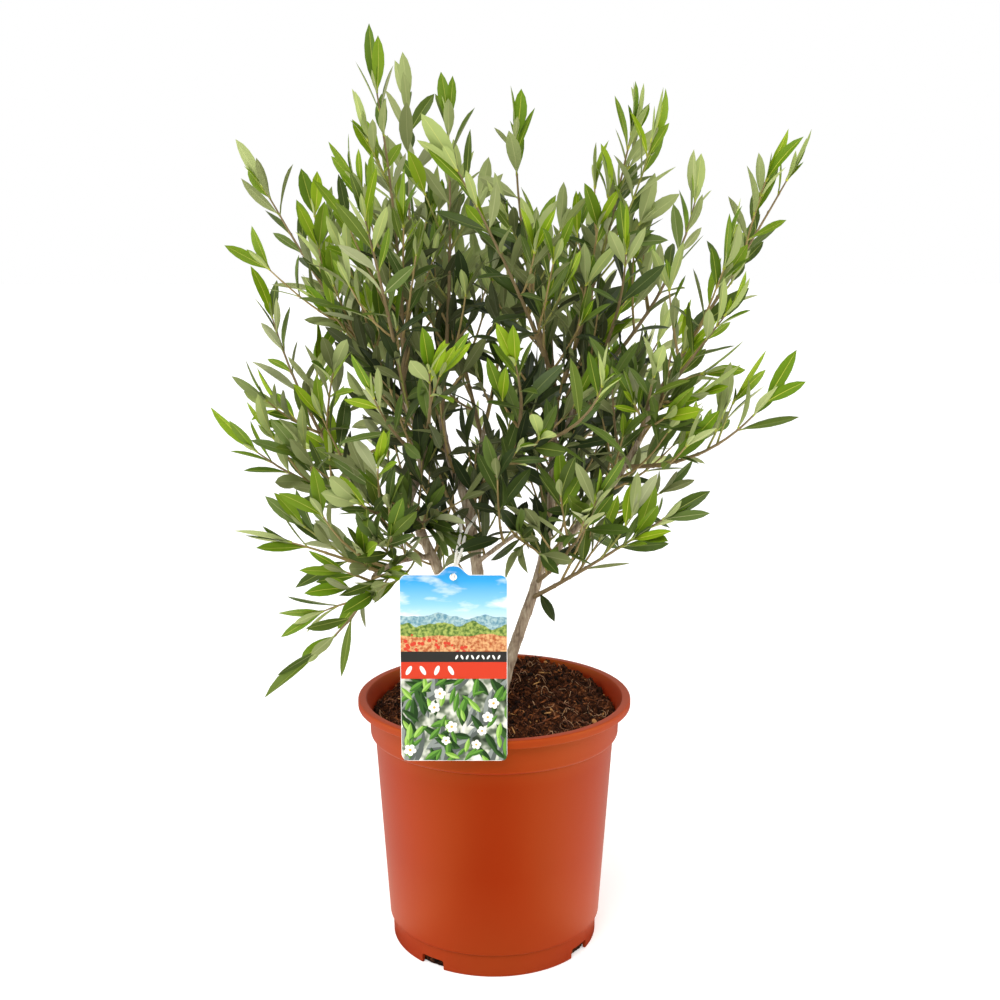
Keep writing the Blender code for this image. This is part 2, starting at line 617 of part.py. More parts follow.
class Mass:
    """One mass of foliage: a leader, side shoots and leaves, each kept only inside the mass's space."""

    def __init__(self, name, leader, space):
        self.name = name
        self.leader = leader
        self.space = space
        self.rng = random.Random(name)
        self.pieces = []

    def add_twig(self, twig, start, heading):
        """Add a three-sided twig."""
        rings = limb_rings(twig, start, heading, TWIG_SIDES, TWIG_RING_SPACING)
        self.pieces.append(tube_mesh(self.name, rings))

    def add_leaf(self, foot, radius, along, outward, angles, length):
        """Add a leaf at the first angle and length at which it keeps to the space, if any."""
        roll = self.rng.uniform(-LEAF_ROLL, LEAF_ROLL)
        for angle, share in zip(angles, LEAF_SHARES):
            heading = along * math.cos(angle) + outward * math.sin(angle)
            heading = (heading + UP * LEAF_LIFT).normalized()
            upper = Matrix.Rotation(roll, 3, heading) @ squared(along - outward, heading)
            corners = leaf_corners(foot - heading * radius * LEAF_SINK, heading, upper, length * share)
            root, edge, face, other_edge, back, tip = corners
            between = [edge.lerp(tip, 0.5), other_edge.lerp(tip, 0.5), face.lerp(root, 0.5)]
            if self.space.holds(self.name, [edge, other_edge, tip] + between, 0.5 * LEAF_THICKNESS):
                self.pieces.append(leaf_mesh(self.name, corners))
                return

    def add_tip(self, twig, reach, pair):
        """Close a twig with a leaf that ends at its reach and, if asked, a small pair at its foot."""
        along = (reach - twig.at(1.0)).normalized()
        forward = 1.0 if reach.y > BACK_FROM else -1.0
        facing = squared(Vector((self.rng.uniform(-0.5, 0.5), forward, 0.0)), along)
        foot = twig.at(1.0) - along * 0.5 * TIP_DROP
        corners = leaf_corners(foot, along, facing, (reach - foot).length)
        self.pieces.append(leaf_mesh(self.name, corners))
        across = along.cross(facing)
        for side in (1.0, -1.0) if pair else ():
            pair_foot = twig.at(1.0) - along * TIP_DROP
            self.add_leaf(pair_foot, twig.radius(1.0), along, across * side, TIP_ANGLES, TIP_PAIR_LENGTH)

    def add_nodes(self, twig, first, shoots):
        """Walk up a twig, giving off a pair of leaves or of side shoots at each node."""
        spin = self.rng.uniform(0.0, math.pi)
        count = int((twig.length - first - LAST_NODE_DROP) / NODE_SPACING) + 1
        for index in range(count):
            t = (first + index * NODE_SPACING) / twig.length
            along = twig.heading(t)
            across = crosswise(along)
            left = (1.0 - t) * twig.length
            for side in (0, 1):
                turn = Matrix.Rotation(spin + index * 0.5 * math.pi + side * math.pi, 3, along)
                outward = turn @ across
                hangs = outward.z < HANGING and along.z > 0.5 * HANGING
                if shoots and left > SHOOT_FROM and (index + side) % 2 == 0 and not hangs:
                    self.add_shoot(twig, t, along, outward, left)
                else:
                    length = LEAF_LENGTH * self.rng.uniform(*LENGTH_RANGE)
                    self.add_leaf(twig.at(t), twig.radius(t), along, outward, LEAF_ANGLES, length)

    def add_shoot(self, twig, t, along, outward, left):
        """Add a side shoot with its own leaves, as long as its space allows."""
        length = min(SHOOT_LONGEST, SHOOT_BASE + SHOOT_SHARE * left) * self.rng.uniform(*SHOOT_RANGE)
        heading = (along * math.cos(SHOOT_ANGLE) + outward * math.sin(SHOOT_ANGLE)).normalized()
        radius = min(twig.radius(t) * 0.8, SHOOT_RADIUS)
        while length > SHOOT_SHORTEST:
            foot = twig.at(t)
            whole_reach = foot + (heading + UP * SHOOT_LIFT).normalized() * (length + TIP_PAIR_LENGTH)
            whole = Limb(foot, whole_reach, -UP * (0.25 * SHOOT_LIFT * length), radius, radius)
            shoot = whole.part(length / (length + TIP_PAIR_LENGTH), radius, 0.8 * TWIG_TIP_RADIUS)
            points = [whole.at(i / 6) for i in range(2, 7)]
            if self.space.holds(self.name, points, radius):
                self.add_twig(shoot, 0.0, None)
                self.add_nodes(shoot, SHOOT_FIRST_NODE, shoots=False)
                self.add_tip(shoot, whole_reach, pair=False)
                return
            length *= SHOOT_CUT
        self.add_leaf(twig.at(t), twig.radius(t), along, outward, LEAF_ANGLES, LEAF_LENGTH)

    def grow(self, start, heading, reach):
        """Grow the whole mass."""
        self.add_twig(self.leader, start, heading)
        self.add_nodes(self.leader, FIRST_NODE + start * self.leader.length, shoots=True)
        self.add_tip(self.leader, reach, pair=True)


def largest_body(mesh):
    """Keep a mesh's largest connected body, which drops loose scraps and fills sealed hollows."""
    work = bmesh.new()
    work.from_mesh(mesh)
    work.verts.ensure_lookup_table()
    seen = set()
    bodies = []
    for vert in work.verts:
        if vert in seen:
            continue
        body = {vert}
        front = [vert]
        while front:
            for edge in front.pop().link_edges:
                for other in edge.verts:
                    if other not in body:
                        body.add(other)
                        front.append(other)
        seen |= body
        bodies.append(body)
    keep = max(bodies, key=lambda body: sum(face.calc_area() for vert in body for face in vert.link_faces))
    loose = [vert for vert in work.verts if vert not in keep]
    bmesh.ops.delete(work, geom=loose, context='VERTS')
    bmesh.ops.triangulate(work, faces=work.faces)
    bmesh.ops.dissolve_degenerate(work, dist=1e-6, edges=work.edges)
    work.to_mesh(mesh)
    work.free()


def join_pieces(name, pieces, surface):
    """Join a mass's pieces into one solid by one union on a collection."""
    group = bpy.data.collections.new(name + "_pieces")
    bpy.context.scene.collection.children.link(group)
    for index, mesh in enumerate(pieces[1:]):
        add_object("%s_piece_%d" % (name, index), mesh, collection=group)
    joined = add_object(name, pieces[0], surface)
    union = joined.modifiers.new("Union", 'BOOLEAN')
    union.operation = 'UNION'
    union.operand_type = 'COLLECTION'
    union.collection = group
    union.solver = 'EXACT'
    graph = bpy.context.evaluated_depsgraph_get()
    whole = bpy.data.meshes.new_from_object(joined.evaluated_get(graph))
    joined.modifiers.clear()
    joined.data = whole
    largest_body(whole)
    whole.materials.clear()
    whole.materials.append(surface)
    for piece in list(group.objects):
        bpy.data.objects.remove(piece)
    bpy.data.collections.remove(group)
    return joined


def build_foliage(limbs, string_points):
    """All foliage masses."""
    leaf_green = material("olive_leaf", "#5A7C44", 0.6)
    leaders = {}
    starts = {}
    for name, (parent, place, reach, bow) in MASSES.items():
        limb = limbs[parent]
        radius = min(0.9 * limb.radius(place), TWIG_LARGEST_RADIUS)
        whole = Limb(limb.at(place), Vector(reach) * MM, Vector(bow) * MM, radius, radius)
        leader = whole.part(1.0 - TIP_LEAF_LENGTH / whole.length, radius, TWIG_TIP_RADIUS)
        starts[name] = grown_start(leader, limb, place, TWIG_SIDES)
        leaders[name] = leader
    space = Space(leaders, limbs, string_points)
    for name, leader in leaders.items():
        mass = Mass(name, leader, space)
        mass.grow(*starts[name], Vector(MASSES[name][2]) * MM)
        join_pieces(name, mass.pieces, leaf_green)


def main():
    """Build the whole plant in an empty scene."""
    for old in list(bpy.data.objects):
        bpy.data.objects.remove(old)
    build_pot()
    build_soil()
    build_label()
    limbs = build_limbs()
    route = string_route(limbs["stem_middle"])
    build_string(route)
    build_foliage(limbs, route)


main()
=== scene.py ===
"""Looks of a young olive tree in a plastic nursery pot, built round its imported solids.

Units are metres, +Z is up, and the origin is the middle of the pot's underside.
The label hangs over the rim on the -Y side.
"""

import math
import random

import bpy
import numpy as np
from mathutils import Matrix, Vector, noise

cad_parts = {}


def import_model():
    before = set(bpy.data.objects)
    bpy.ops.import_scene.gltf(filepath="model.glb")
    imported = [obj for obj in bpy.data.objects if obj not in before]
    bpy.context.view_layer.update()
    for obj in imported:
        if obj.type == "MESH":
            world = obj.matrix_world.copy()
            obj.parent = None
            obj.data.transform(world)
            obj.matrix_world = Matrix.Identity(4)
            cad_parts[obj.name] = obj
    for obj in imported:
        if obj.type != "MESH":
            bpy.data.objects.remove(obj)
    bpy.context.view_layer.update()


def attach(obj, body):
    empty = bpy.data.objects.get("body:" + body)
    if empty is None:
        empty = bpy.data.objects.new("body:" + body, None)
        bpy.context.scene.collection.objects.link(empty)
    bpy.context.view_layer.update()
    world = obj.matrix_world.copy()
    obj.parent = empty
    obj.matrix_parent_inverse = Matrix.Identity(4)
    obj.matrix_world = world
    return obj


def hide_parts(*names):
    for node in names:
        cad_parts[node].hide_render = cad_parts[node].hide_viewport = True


MM = 0.001
UP = Vector((0.0, 0.0, 1.0))

# Camera: a lens a little longer than normal, looking slightly down at the pot.
EYE = Vector((4.41, -966.68, 521.13)) * MM
LOOK_DOWN = math.radians(10.332)
LENS = 46.91
SENSOR = 36.0

# Nursery pot, 21 cm across the rim.
POT_HEIGHT = 193.0 * MM
RIM_RADIUS = 105.0 * MM
RIM_DEPTH = 6.0 * MM
RIM_MOUTH = 98.5 * MM
COLLAR_DEPTH = 29.0 * MM
COLLAR_RADIUS = 95.7 * MM
BODY_TOP_RADIUS = 92.1 * MM
BODY_FOOT_RADIUS = 82.6 * MM
STEP_HEIGHT = 18.0 * MM
FOOT_TOP_RADIUS = 80.4 * MM
FOOT_RADIUS = 79.9 * MM
POT_WALL = 1.9 * MM
FLOOR_TOP = 10.0 * MM
FLOOR_UNDERSIDE = 8.0 * MM
FOOT_RING_WIDTH = 2.6 * MM
PAD_RADIUS = 18.0 * MM
POT_SIDES = 144
NOTCH_COUNT = 4
NOTCH_FIRST = math.radians(-125.5)
NOTCH_WIDTH = 20.0 * MM
NOTCH_HEIGHT = 7.4 * MM

# Painted light: the plastic is painted paler at the collar, the lip and towards the foot, where it
# catches more light. A row gives the heights at which that begins and is full, in millimetres, and how
# much paler it is there.
POT_PAINTED_LIGHT = ((152.0, 172.0, 0.24), (187.0, 192.0, 0.40), (80.0, 8.0, 0.26))

# Soil.
SOIL_TOP = 185.7 * MM
SOIL_RADIUS = 93.2 * MM
SOIL_EDGE_DROP = 6.5 * MM
SOIL_RISE = 14.0 * MM          # the soil lies this much higher at the back
RISE_REACH = 85.0 * MM
SOIL_DEPTH = 40.0 * MM         # the modelled plug reaches this far down
SOIL_CELLS = 190
CRUMB_COUNT = 2600
CHIP_COUNT = 420
FIBRE_COUNT = 560
NOTCH_CRUMBS = 26              # crumbs behind each drain notch
BANK_SECTION = ((66.0, 7.4), (75.2, 7.4), (76.4, 5.4), (76.8, 3.0), (76.6, 0.5), (66.0, 0.5))   # in mm

# Hang label.
LABEL_WIDTH = 73.5 * MM
LABEL_HEIGHT = 133.0 * MM
LABEL_THICKNESS = 0.6 * MM
LABEL_CORNER = 5.0 * MM
LABEL_TAB_WIDTH = 23.0 * MM
LABEL_TAB_HEIGHT = 6.3 * MM
LABEL_HOLE_RADIUS = 2.5 * MM
LABEL_HOLE_DROP = 1.5 * MM
LABEL_MIDDLE = Vector((-27.3, -105.8, 179.6)) * MM
LABEL_MARGIN = 0.35 * MM       # white edge that the print leaves free
STRING_PLY = 0.70 * MM         # radius of each of the string's two plies
STRING_LAY = 3.2 * MM          # length in which a ply goes once round
STRING_STEP = 0.5 * MM
STRING_HOLD = 0.86             # where along the middle stem the string goes round it
STRING_REACH = 7.2 * MM        # distance at which it goes round the stem's middle line
STRING_KNOT = 0.62             # the knot's place between the stem and the label's hole

# Limbs: foot or parent and place on it, tip, bow (and sway), radii at foot and tip, in millimetres.
STEMS = {
    "stem_right": ((3, -5), (44, 10, 385), (5, 2, -18), (-4, 0, 0), 5.2, 2.8),
    "stem_middle": ((-5, 7), (-22, -14, 351), (1, -4, 22), (0, 0, 0), 5.0, 3.7),
    "stem_left": ((-11, -6), (-65, -8, 344), (-1, 3, 19), (2, 0, 0), 4.8, 3.4),
}
BOUGHS = {
    "bough_left": ("stem_left", 0.93, (-106, 0, 349), (0, -2, 2), 2.5, 2.0),
    "bough_left_low": ("stem_left", 0.62, (-87, -48, 298), (-1, -8, 6), 2.2, 1.7),
    "bough_left_rising": ("stem_left", 1, (-52, -16, 390), (4, -2, 3), 3.1, 2.6),
    "bough_top_left": ("bough_left_rising", 1, (-67, -12, 429), (-1, 0, 1), 2.5, 2.2),
    "bough_back_left": ("bough_left_rising", 0.55, (-77, 42, 407), (3, 8, -1), 2.1, 1.7),
    "bough_middle_left": ("stem_middle", 1, (-39, -4, 410), (-3, -1, 0), 3.0, 2.4),
    "bough_middle_right": ("stem_middle", 0.97, (14, -44, 391), (1, -1, 4), 2.6, 2.0),
    "bough_low": ("stem_middle", 0.55, (17, -42, 328), (3, -7, 4), 1.9, 1.5),
    "bough_back_middle": ("stem_middle", 0.75, (-8, 50, 392), (-2, 7, -2), 2.5, 1.9),
    "bough_right_top": ("stem_right", 1, (46, -4, 428), (1, 1, 0), 2.8, 2.4),
    "bough_right": ("stem_right", 0.62, (97, -18, 376), (13, -2, 12), 3.0, 2.4),
    "bough_right_far": ("bough_right", 1, (114, -20, 419), (4, -1, 2), 2.3, 2.0),
    "bough_right_upper": ("stem_right", 0.93, (76, 12, 436), (-1, -3, 9), 2.3, 1.9),
    "bough_back_right": ("stem_right", 0.70, (77, 56, 391), (1, 2, 18), 2.4, 1.9),
}

# Foliage masses. A row gives the limb that a mass grows from, the place along it, its furthest leaf
# tip and the bow of its leader, in millimetres.
MASSES = {
    "foliage_left_hanging": ("bough_left_low", 1, (-162, -92, 221), (16, 0, 5)),
    "foliage_left_low": ("bough_left_low", 0.90, (-181, -80, 340), (3, 1, 1)),
    "foliage_left_middle": ("bough_left", 1, (-208, -24, 416), (1, 2, -13)),
    "foliage_left_outer": ("bough_left", 0.80, (-182, 52, 521), (-9, 9, -13)),
    "foliage_left_top": ("bough_top_left", 0.45, (-196, 62, 613), (-3, 10, -6)),
    "foliage_left_front": ("bough_top_left", 0.75, (-92, -92, 580), (1, -10, 6)),
    "foliage_top_left": ("bough_top_left", 1, (-89, -24, 684), (8, 0, -13)),
    "foliage_top_left_back": ("bough_top_left", 0.90, (-69, 86, 681), (2, 23, -4)),
    "foliage_top_middle_left": ("bough_middle_left", 1, (-36, 26, 659), (5, 3, 3)),
    "foliage_top_diagonal": ("bough_right_top", 1, (-45, -86, 618), (9, -7, -6)),
    "foliage_top_middle": ("bough_right_top", 0.90, (15, -6, 645), (-9, 6, 3)),
    "foliage_top_gap": ("bough_right_top", 0.50, (43, 70, 557), (-2, 9, 11)),
    "foliage_top_right": ("bough_right_top", 0.75, (103, -22, 645), (7, 15, 6)),
    "foliage_right_upper": ("bough_right_upper", 1, (158, 54, 603), (17, 1, -4)),
    "foliage_right_middle": ("bough_right_upper", 0.75, (87, -66, 559), (13, 2, 3)),
    "foliage_right_far": ("bough_right_far", 1, (227, -14, 613), (3, 5, 0)),
    "foliage_right_outer": ("bough_right_far", 0.85, (175, -76, 510), (4, -4, 6)),
    "foliage_right_sweep": ("bough_right", 0.93, (212, -56, 461), (9, -10, -21)),
    "foliage_right_front": ("bough_right_far", 0.35, (111, -104, 470), (-1, -10, 2)),
    "foliage_right_low": ("stem_right", 0.50, (147, -80, 367), (-3, -14, -1)),
    "foliage_front_low": ("stem_right", 0.56, (73, -108, 387), (10, -17, 2)),
    "foliage_front_left": ("bough_left_rising", 0.90, (-45, -116, 479), (5, -10, -4)),
    "foliage_front_far_left": ("bough_left_rising", 0.75, (-89, -120, 464), (-2, -6, -11)),
    "foliage_front_low_left": ("bough_left", 0.35, (-110, -110, 382), (8, -8, -14)),
    "foliage_front_middle": ("bough_middle_right", 1, (2, -124, 484), (10, -2, 0)),
    "foliage_front_right": ("bough_middle_right", 0.90, (72, -138, 472), (20, -2, -11)),
    "foliage_low_middle": ("bough_low", 0.90, (43, -96, 312), (7, 3, -4)),
    "foliage_inner_left": ("stem_left", 0.78, (-19, -78, 347), (-10, -2, 4)),
    "foliage_inner_low_left": ("bough_left_low", 0.45, (-90, -104, 356), (-2, -4, -5)),
    "foliage_inner_back": ("stem_middle", 0.62, (-75, 96, 310), (8, -3, 15)),
    "foliage_back_left_low": ("bough_back_left", 0.70, (-174, 136, 381), (2, 12, -24)),
    "foliage_back_left": ("bough_back_left", 1, (-148, 142, 531), (-9, 12, 6)),
    "foliage_back_top": ("bough_back_middle", 0.90, (-54, 140, 572), (-5, 15, 13)),
    "foliage_back_middle": ("bough_back_middle", 1, (9, 160, 561), (8, 15, 6)),
    "foliage_back_low": ("bough_back_middle", 0.60, (22, 162, 369), (0, 15, -16)),
    "foliage_back_top_right": ("bough_back_right", 0.80, (87, 132, 572), (-1, 8, -4)),
    "foliage_back_right": ("bough_back_right", 1, (158, 158, 490), (4, 15, -8)),
    "foliage_back_low_right": ("bough_back_right", 0.60, (143, 150, 370), (2, 10, -22)),
}

# Strong side shoots of the masses, which show clear of them. A row gives the mass, the place along its
# leader, the shoot's furthest leaf tip and its bow, in millimetres.
SIDE_SHOOTS = [
    ("left_top", 0.34, (-120, -35, 530), (-4, -4, 6)),
    ("left_top", 0.60, (-145, 40, 590), (4, -2, 4)),
    ("left_outer", 0.50, (-130, 0, 480), (3, -2, 4)),
    ("left_outer", 0.34, (-105, -40, 470), (-3, -4, 5)),
    ("left_outer", 0.40, (-185, -10, 450), (-8, -4, -4)),
    ("left_middle", 0.38, (-140, -35, 420), (-3, -3, 3)),
    ("left_middle", 0.22, (-125, 15, 410), (-2, 3, 2)),
    ("left_low", 0.10, (-90, -85, 345), (-3, -6, 0)),
    ("left_hanging", 0.10, (-135, -80, 310), (-3, -4, 6)),
    ("left_hanging", 0.35, (-155, -60, 255), (-4, 3, 2)),
    ("top_left", 0.52, (-110, -45, 605), (-4, -3, 4)),
    ("top_right", 0.34, (65, 35, 575), (-5, 5, 4)),
    ("top_right", 0.48, (115, -35, 640), (8, -3, 0)),
    ("top_right", 0.52, (80, 15, 610), (-5, 4, 4)),
    ("top_diagonal", 0.40, (20, -60, 550), (3, -4, 5)),
    ("top_gap", 0.50, (60, 40, 550), (4, -3, 4)),
    ("right_upper", 0.40, (115, 20, 565), (-5, -4, 4)),
    ("right_far", 0.50, (175, -35, 565), (-2, -3, 3)),
    ("right_outer", 0.10, (170, -60, 455), (2, -5, -8)),
    ("right_outer", 0.30, (180, -30, 465), (3, 3, -5)),
    ("right_sweep", 0.30, (145, -60, 425), (2, -5, -2)),
    ("right_sweep", 0.55, (175, -30, 450), (2, 4, -3)),
    ("right_low", 0.55, (110, -85, 380), (2, -4, -2)),
    ("right_low", 0.38, (90, -60, 360), (2, 4, -3)),
    ("front_low", 0.45, (45, -95, 395), (-3, -5, 1)),
    ("front_low", 0.55, (60, -130, 370), (2, -2, 0)),
    ("low_middle", 0.35, (15, -90, 355), (-3, -6, 2)),
    ("inner_left", 0.25, (-65, -70, 375), (-3, -5, 3)),
    ("inner_low_left", 0.40, (-70, -100, 385), (-1, -5, 2)),
    ("front_low_left", 0.45, (-75, -105, 410), (-2, -4, 2)),
    ("inner_left", 0.20, (-14, -60, 323), (3, -4, 4)),
    ("inner_left", 0.60, (-29, -75, 316), (4, -3, 5)),
    ("inner_left", 0.85, (-37, -80, 374), (-2, -3, 0)),
    ("inner_low_left", 0.15, (-48, -80, 316), (2, -5, 6)),
    ("inner_low_left", 0.60, (-62, -105, 364), (-2, -4, -4)),
    ("low_middle", 0.15, (2, -75, 316), (-3, -4, 3)),
    ("low_middle", 0.40, (18, -90, 305), (-4, -3, 4)),
    ("left_hanging", 0.05, (-60, -92, 311), (4, -5, 4)),
    ("left_low", 0.35, (-164, -60, 356), (-2, -3, 4)),
    ("left_middle", 0.50, (-183, -10, 420), (-3, -3, 5)),
    ("right_front", 0.30, (89, -85, 448), (-3, -4, 2)),
    ("right_front", 0.20, (134, -80, 439), (3, -4, -4)),
    ("right_outer", 0.05, (147, -45, 442), (3, -3, -5)),
    ("right_low", 0.25, (74, -70, 365), (2, -4, 2)),
    ("front_low", 0.30, (24, -80, 359), (-4, -4, 1)),
    ("front_low", 0.12, (42, -60, 312), (-2, -6, 4)),
    ("top_left", 0.72, (-98, -25, 638), (-4, -2, 4)),
    ("top_right", 0.74, (106, 5, 648), (5, 3, 2)),
    ("right_far", 0.68, (206, -28, 613), (-3, -3, 2)),
    ("right_outer", 0.22, (148, -45, 478), (3, 2, 3)),
    ("left_top", 0.36, (-142, -12, 505), (-4, -2, 5)),
    ("front_left", 0.60, (-17, -85, 476), (-3, -4, 3)),
    ("front_middle", 0.25, (-2, -95, 458), (-4, -4, 0)),
    ("right_sweep", 0.62, (190, -40, 462), (-3, 4, -4)),
    ("right_low", 0.68, (112, -88, 358), (2, -3, -3)),
    ("left_hanging", 0.30, (-131, -85, 300), (-3, -3, 5)),
    ("inner_left", 0.50, (-37, -85, 332), (-2, -4, 4)),
    ("back_middle", 0.12, (-22, 45, 462), (-3, -4, 5)),
    ("back_middle", 0.20, (24, 48, 472), (3, -4, 4)),
    ("back_top", 0.15, (-44, 50, 480), (-3, -4, 5)),
    ("back_low", 0.10, (20, 70, 335), (3, 2, 4)),
    ("inner_back", 0.35, (-48, 62, 352), (-3, -3, 5)),
    ("inner_back", 0.12, (-56, 42, 374), (-3, 4, 5)),
    ("inner_back", 0.22, (-8, 62, 352), (4, 3, 4)),
    ("back_low", 0.20, (-14, 64, 374), (-4, 3, 3)),
    ("inner_left", 0.10, (-70, -38, 362), (-4, 3, 4)),
    ("inner_left", 0.35, (4, -52, 370), (4, -3, 3)),
    ("low_middle", 0.08, (-12, -42, 368), (-4, -3, 3)),
    ("back_left", 0.05, (-42, 55, 442), (3, -3, 4)),
    ("back_middle", 0.55, (30, 189, 490), (3, 6, -6)),
    ("back_low", 0.50, (-15, 187, 400), (-4, 6, -6)),
    ("back_right", 0.50, (105, 188, 455), (-4, 6, -8)),
    ("back_left", 0.50, (-100, 178, 470), (-3, 6, -8)),
    ("back_left_low", 0.40, (-95, 165, 380), (3, 8, -8)),
]

# Bark of stems and boughs.
LIMB_SIDES = 14
LIMB_RING_SPACING = 2.5 * MM
FLARE_HEIGHT = 12.0 * MM
FLARE_SPREAD = 0.45
STEM_SUNK = 4.0 * MM           # a stem goes on this far into the soil
COLLAR_SWELL = 0.35            # a bough is thicker by this share where it leaves its parent
COLLAR_LENGTH = 7.0 * MM
BARK_VOXEL = 0.68 * MM
BARK_RIDGE = 0.30 * MM         # height of the lengthwise ridges
BARK_GRAIN = 0.12 * MM

# The growing rule of the masses, carried on to finer twigs and to leaves of true size.
TIP_LEAF_LENGTH = 40.0 * MM
LEAF_LENGTH = 40.0 * MM
LEAF_SLENDER = 0.248           # width of a leaf as a share of its length
LEAF_LIFT = 0.16               # how strongly a leaf turns up to the light
LEAF_SINK = 0.4                # share of the twig's radius by which a leaf's foot sinks into it
NODE_FIRST = 11.0 * MM         # from a twig's tip down to its second pair
NODE_GROWTH = 3.5 * MM         # each space between pairs is longer by this
NODE_LONGEST = 17.5 * MM
FOOT_CLEAR = 7.0 * MM          # no pair sits nearer than this to a twig's foot
SHOOT_FROM = (85.0 * MM, 50.0 * MM, 50.0 * MM)   # side shoots start this far below the tip, by order
SHOOT_ANGLE = math.radians(46.0)
SHOOT_LIFT = 0.34
SHOOT_BASE = 12.0 * MM
SHOOT_SHARE = 0.42
SHOOT_LONGEST = 92.0 * MM
SHOOT_SHORTEST = 16.0 * MM
SHOOT_CUT = 0.75               # a shoot without room is tried again at this share of its length
SPUR_SPACING = 8.0 * MM        # short leafy spurs along the upper limbs
SPUR_FROM = 262.0 * MM         # they start at this height
SPUR_TURN = 2.4                # turn, in radians, from one spur to the next
OLD_TWIG = 1.55 * MM           # radii from which a twig's bark is old or tan
TAN_TWIG = 0.85 * MM
TWIG_TIP_RADIUS = 0.55 * MM
TWIG_LARGEST_RADIUS = 1.8 * MM
TWIG_SIDES = 6
NODE_SWELL = 1.30              # a twig is thicker by this factor at a pair of leaves
SPACE_WIDTH = 56.0 * MM        # a mass keeps this near to its own main twigs
SAMPLE_SPACING = 3.0 * MM
ROOM_CELL = 9.0 * MM
LEAF_ROOM = 2.6 * MM           # half the space that a leaf keeps round its middle line
INNER = Vector((5.0, 0.0, 425.0)) * MM       # middle of the crown
CROWN_REACH = Vector((205.0, 150.0, 225.0)) * MM   # its half sizes
LOWEST_LEAF = 215.0 * MM
SPACE_OVERLAP = 5.0 * MM       # masses may reach this far into each other's space
OLD_BELOW = 150.0 * MM         # leaves this far below a tip are fully old
LEAF_DROP = 0.55               # share of the old leaves that have dropped
HIGH_LEAF = 395.0 * MM         # higher than this, fewer leaves have dropped
HIGH_DROP = 0.55
BARE_DROP = 0.80
# Painted shade: leaves among bare twigs are painted darker by this much.
BARE_SHADE = 0.14              # leaves among bare twigs are this much darker
FULL_DROP = 0.3
SPUR_LEAF_DROP = 0.48          # share of the leaves that spurs have dropped
LEAF_TURNS = (14.0, -22.0, 30.0, 0.0)        # turns, in degrees, with which a leaf tries for room
LEAF_CUT = 0.93                # a leaf keeps this share of its length with each try
LEAF_PROBES = (0.38, 0.68, 0.97)             # places along a leaf that need room
SHADE_SPREAD = math.radians(46.0)            # leaves in full shade stand off further by about this
LEAF_TWIST = 0.38              # spread, in radians, of a leaf's turn about its own line
BROADSIDE_SHARE = 0.6          # leaves that turn to the crown's nearer long side
UNDERSIDE_SHARE = 0.30         # leaves that turn their pale side out
SIDE_SHOOT_RADIUS = 1.15 * MM
RANK_LENGTHS = (0.72, 0.86, 0.97, 1.0)
RANK_ANGLES = (14.0, 26.0, 33.0, 40.0)
HANGING = -0.4                 # a shoot that would point further down than this is left out
SHOOT_CHANCE = (0.85, 0.45, 0.0)
DULL_SHARE = 0.30              # share of the old leaves in good light that have gone dull
DEEP_FROM = 0.50               # shade from which a leaf is of the tone named
SHADED_FROM = 0.27
YOUNG_FROM = 0.95              # freshness from which a leaf is of the tone named
FRESH_FROM = 0.45
NODE_SPACING_OLD = 21.0 * MM   # rings of old leaf scars on the boughs

# Shoots in fresh growth, and others that have slowed.
VIGOUR = {
    "front_far_left": 1.6, "front_left": 1.6, "front_middle": 1.3, "right_far": 1.2,
    "right_outer": 1.3, "right_upper": 1.25, "right_middle": 1.2, "left_hanging": 0.7,
    "left_low": 0.7, "right_low": 0.7, "front_low": 0.6, "low_middle": 0.3, "inner_left": 0.3,
    "inner_low_left": 0.3, "inner_back": 0.2,
}

# Where the crown is open to the sky, seen from the camera: middle and half size, in millimetres,
# of an oval that stands in the plane through the pot's axis.
OPENINGS = (
    (50, 573, 32, 28), (-112, 608, 18, 24), (-9, 402, 12, 10), (180, 384, 33, 13), (96, 272, 42, 19),
    (-108, 587, 18, 20), (-127, 560, 11, 18), (40, 560, 19, 18), (216, 525, 23, 19), (-166, 530, 16, 12),
    (208, 565, 14, 13), (-79, 259, 17, 8), (90, 302, 24, 9), (-131, 305, 17, 11), (-175, 423, 12, 7),
    (8, 297, 8, 14), (165, 555, 10, 16), (39, 284, 11, 8), (-27, 400, 9, 12),
)

# Ovals as above: where old twigs have shed most of their leaves, and where they have kept them.
BARE_PLACES = ((-30, 338, 50, 38), (26, 312, 34, 20))
FULL_PLACES = ((-2, 452, 56, 46),)

# Tones of leaves: upper sides, underside, midrib above and below, roughness and strength of the gloss.
# The shaded tone and the darkest tone are painted shade: darker copies of the leaf colours for leaves
# inside the crown.
LEAF_TONES = {
    "young": (("#769412", "#668714", "#86A21C"), "#A0B068", "#BCC24A", "#B8C070", 0.42, 0.16),
    "fresh": (("#617E14", "#547018", "#708C1E"), "#9AA76A", "#A4AE46", "#AEB67A", 0.42, 0.16),
    "mature": (("#50641C", "#46591A", "#5C7022"), "#8E9862", "#8E9A48", "#A2AA74", 0.45, 0.20),
    "dull": (("#5A6E30", "#4E622A", "#667A38"), "#9CA478", "#969E66", "#AAB084", 0.55, 0.20),
    "shaded": (("#455A1E", "#3C4E1A", "#536826"), "#6F7848", "#6E7A40", "#848A5C", 0.40, 0.22),
    "deep": (("#293816", "#222E14", "#35431F"), "#4C5432", "#4F5730", "#5E6448", 0.36, 0.28),
}
TWIG_COLOURS = {"old": "#83704C", "tan": "#9A8552", "green": "#8E9044"}

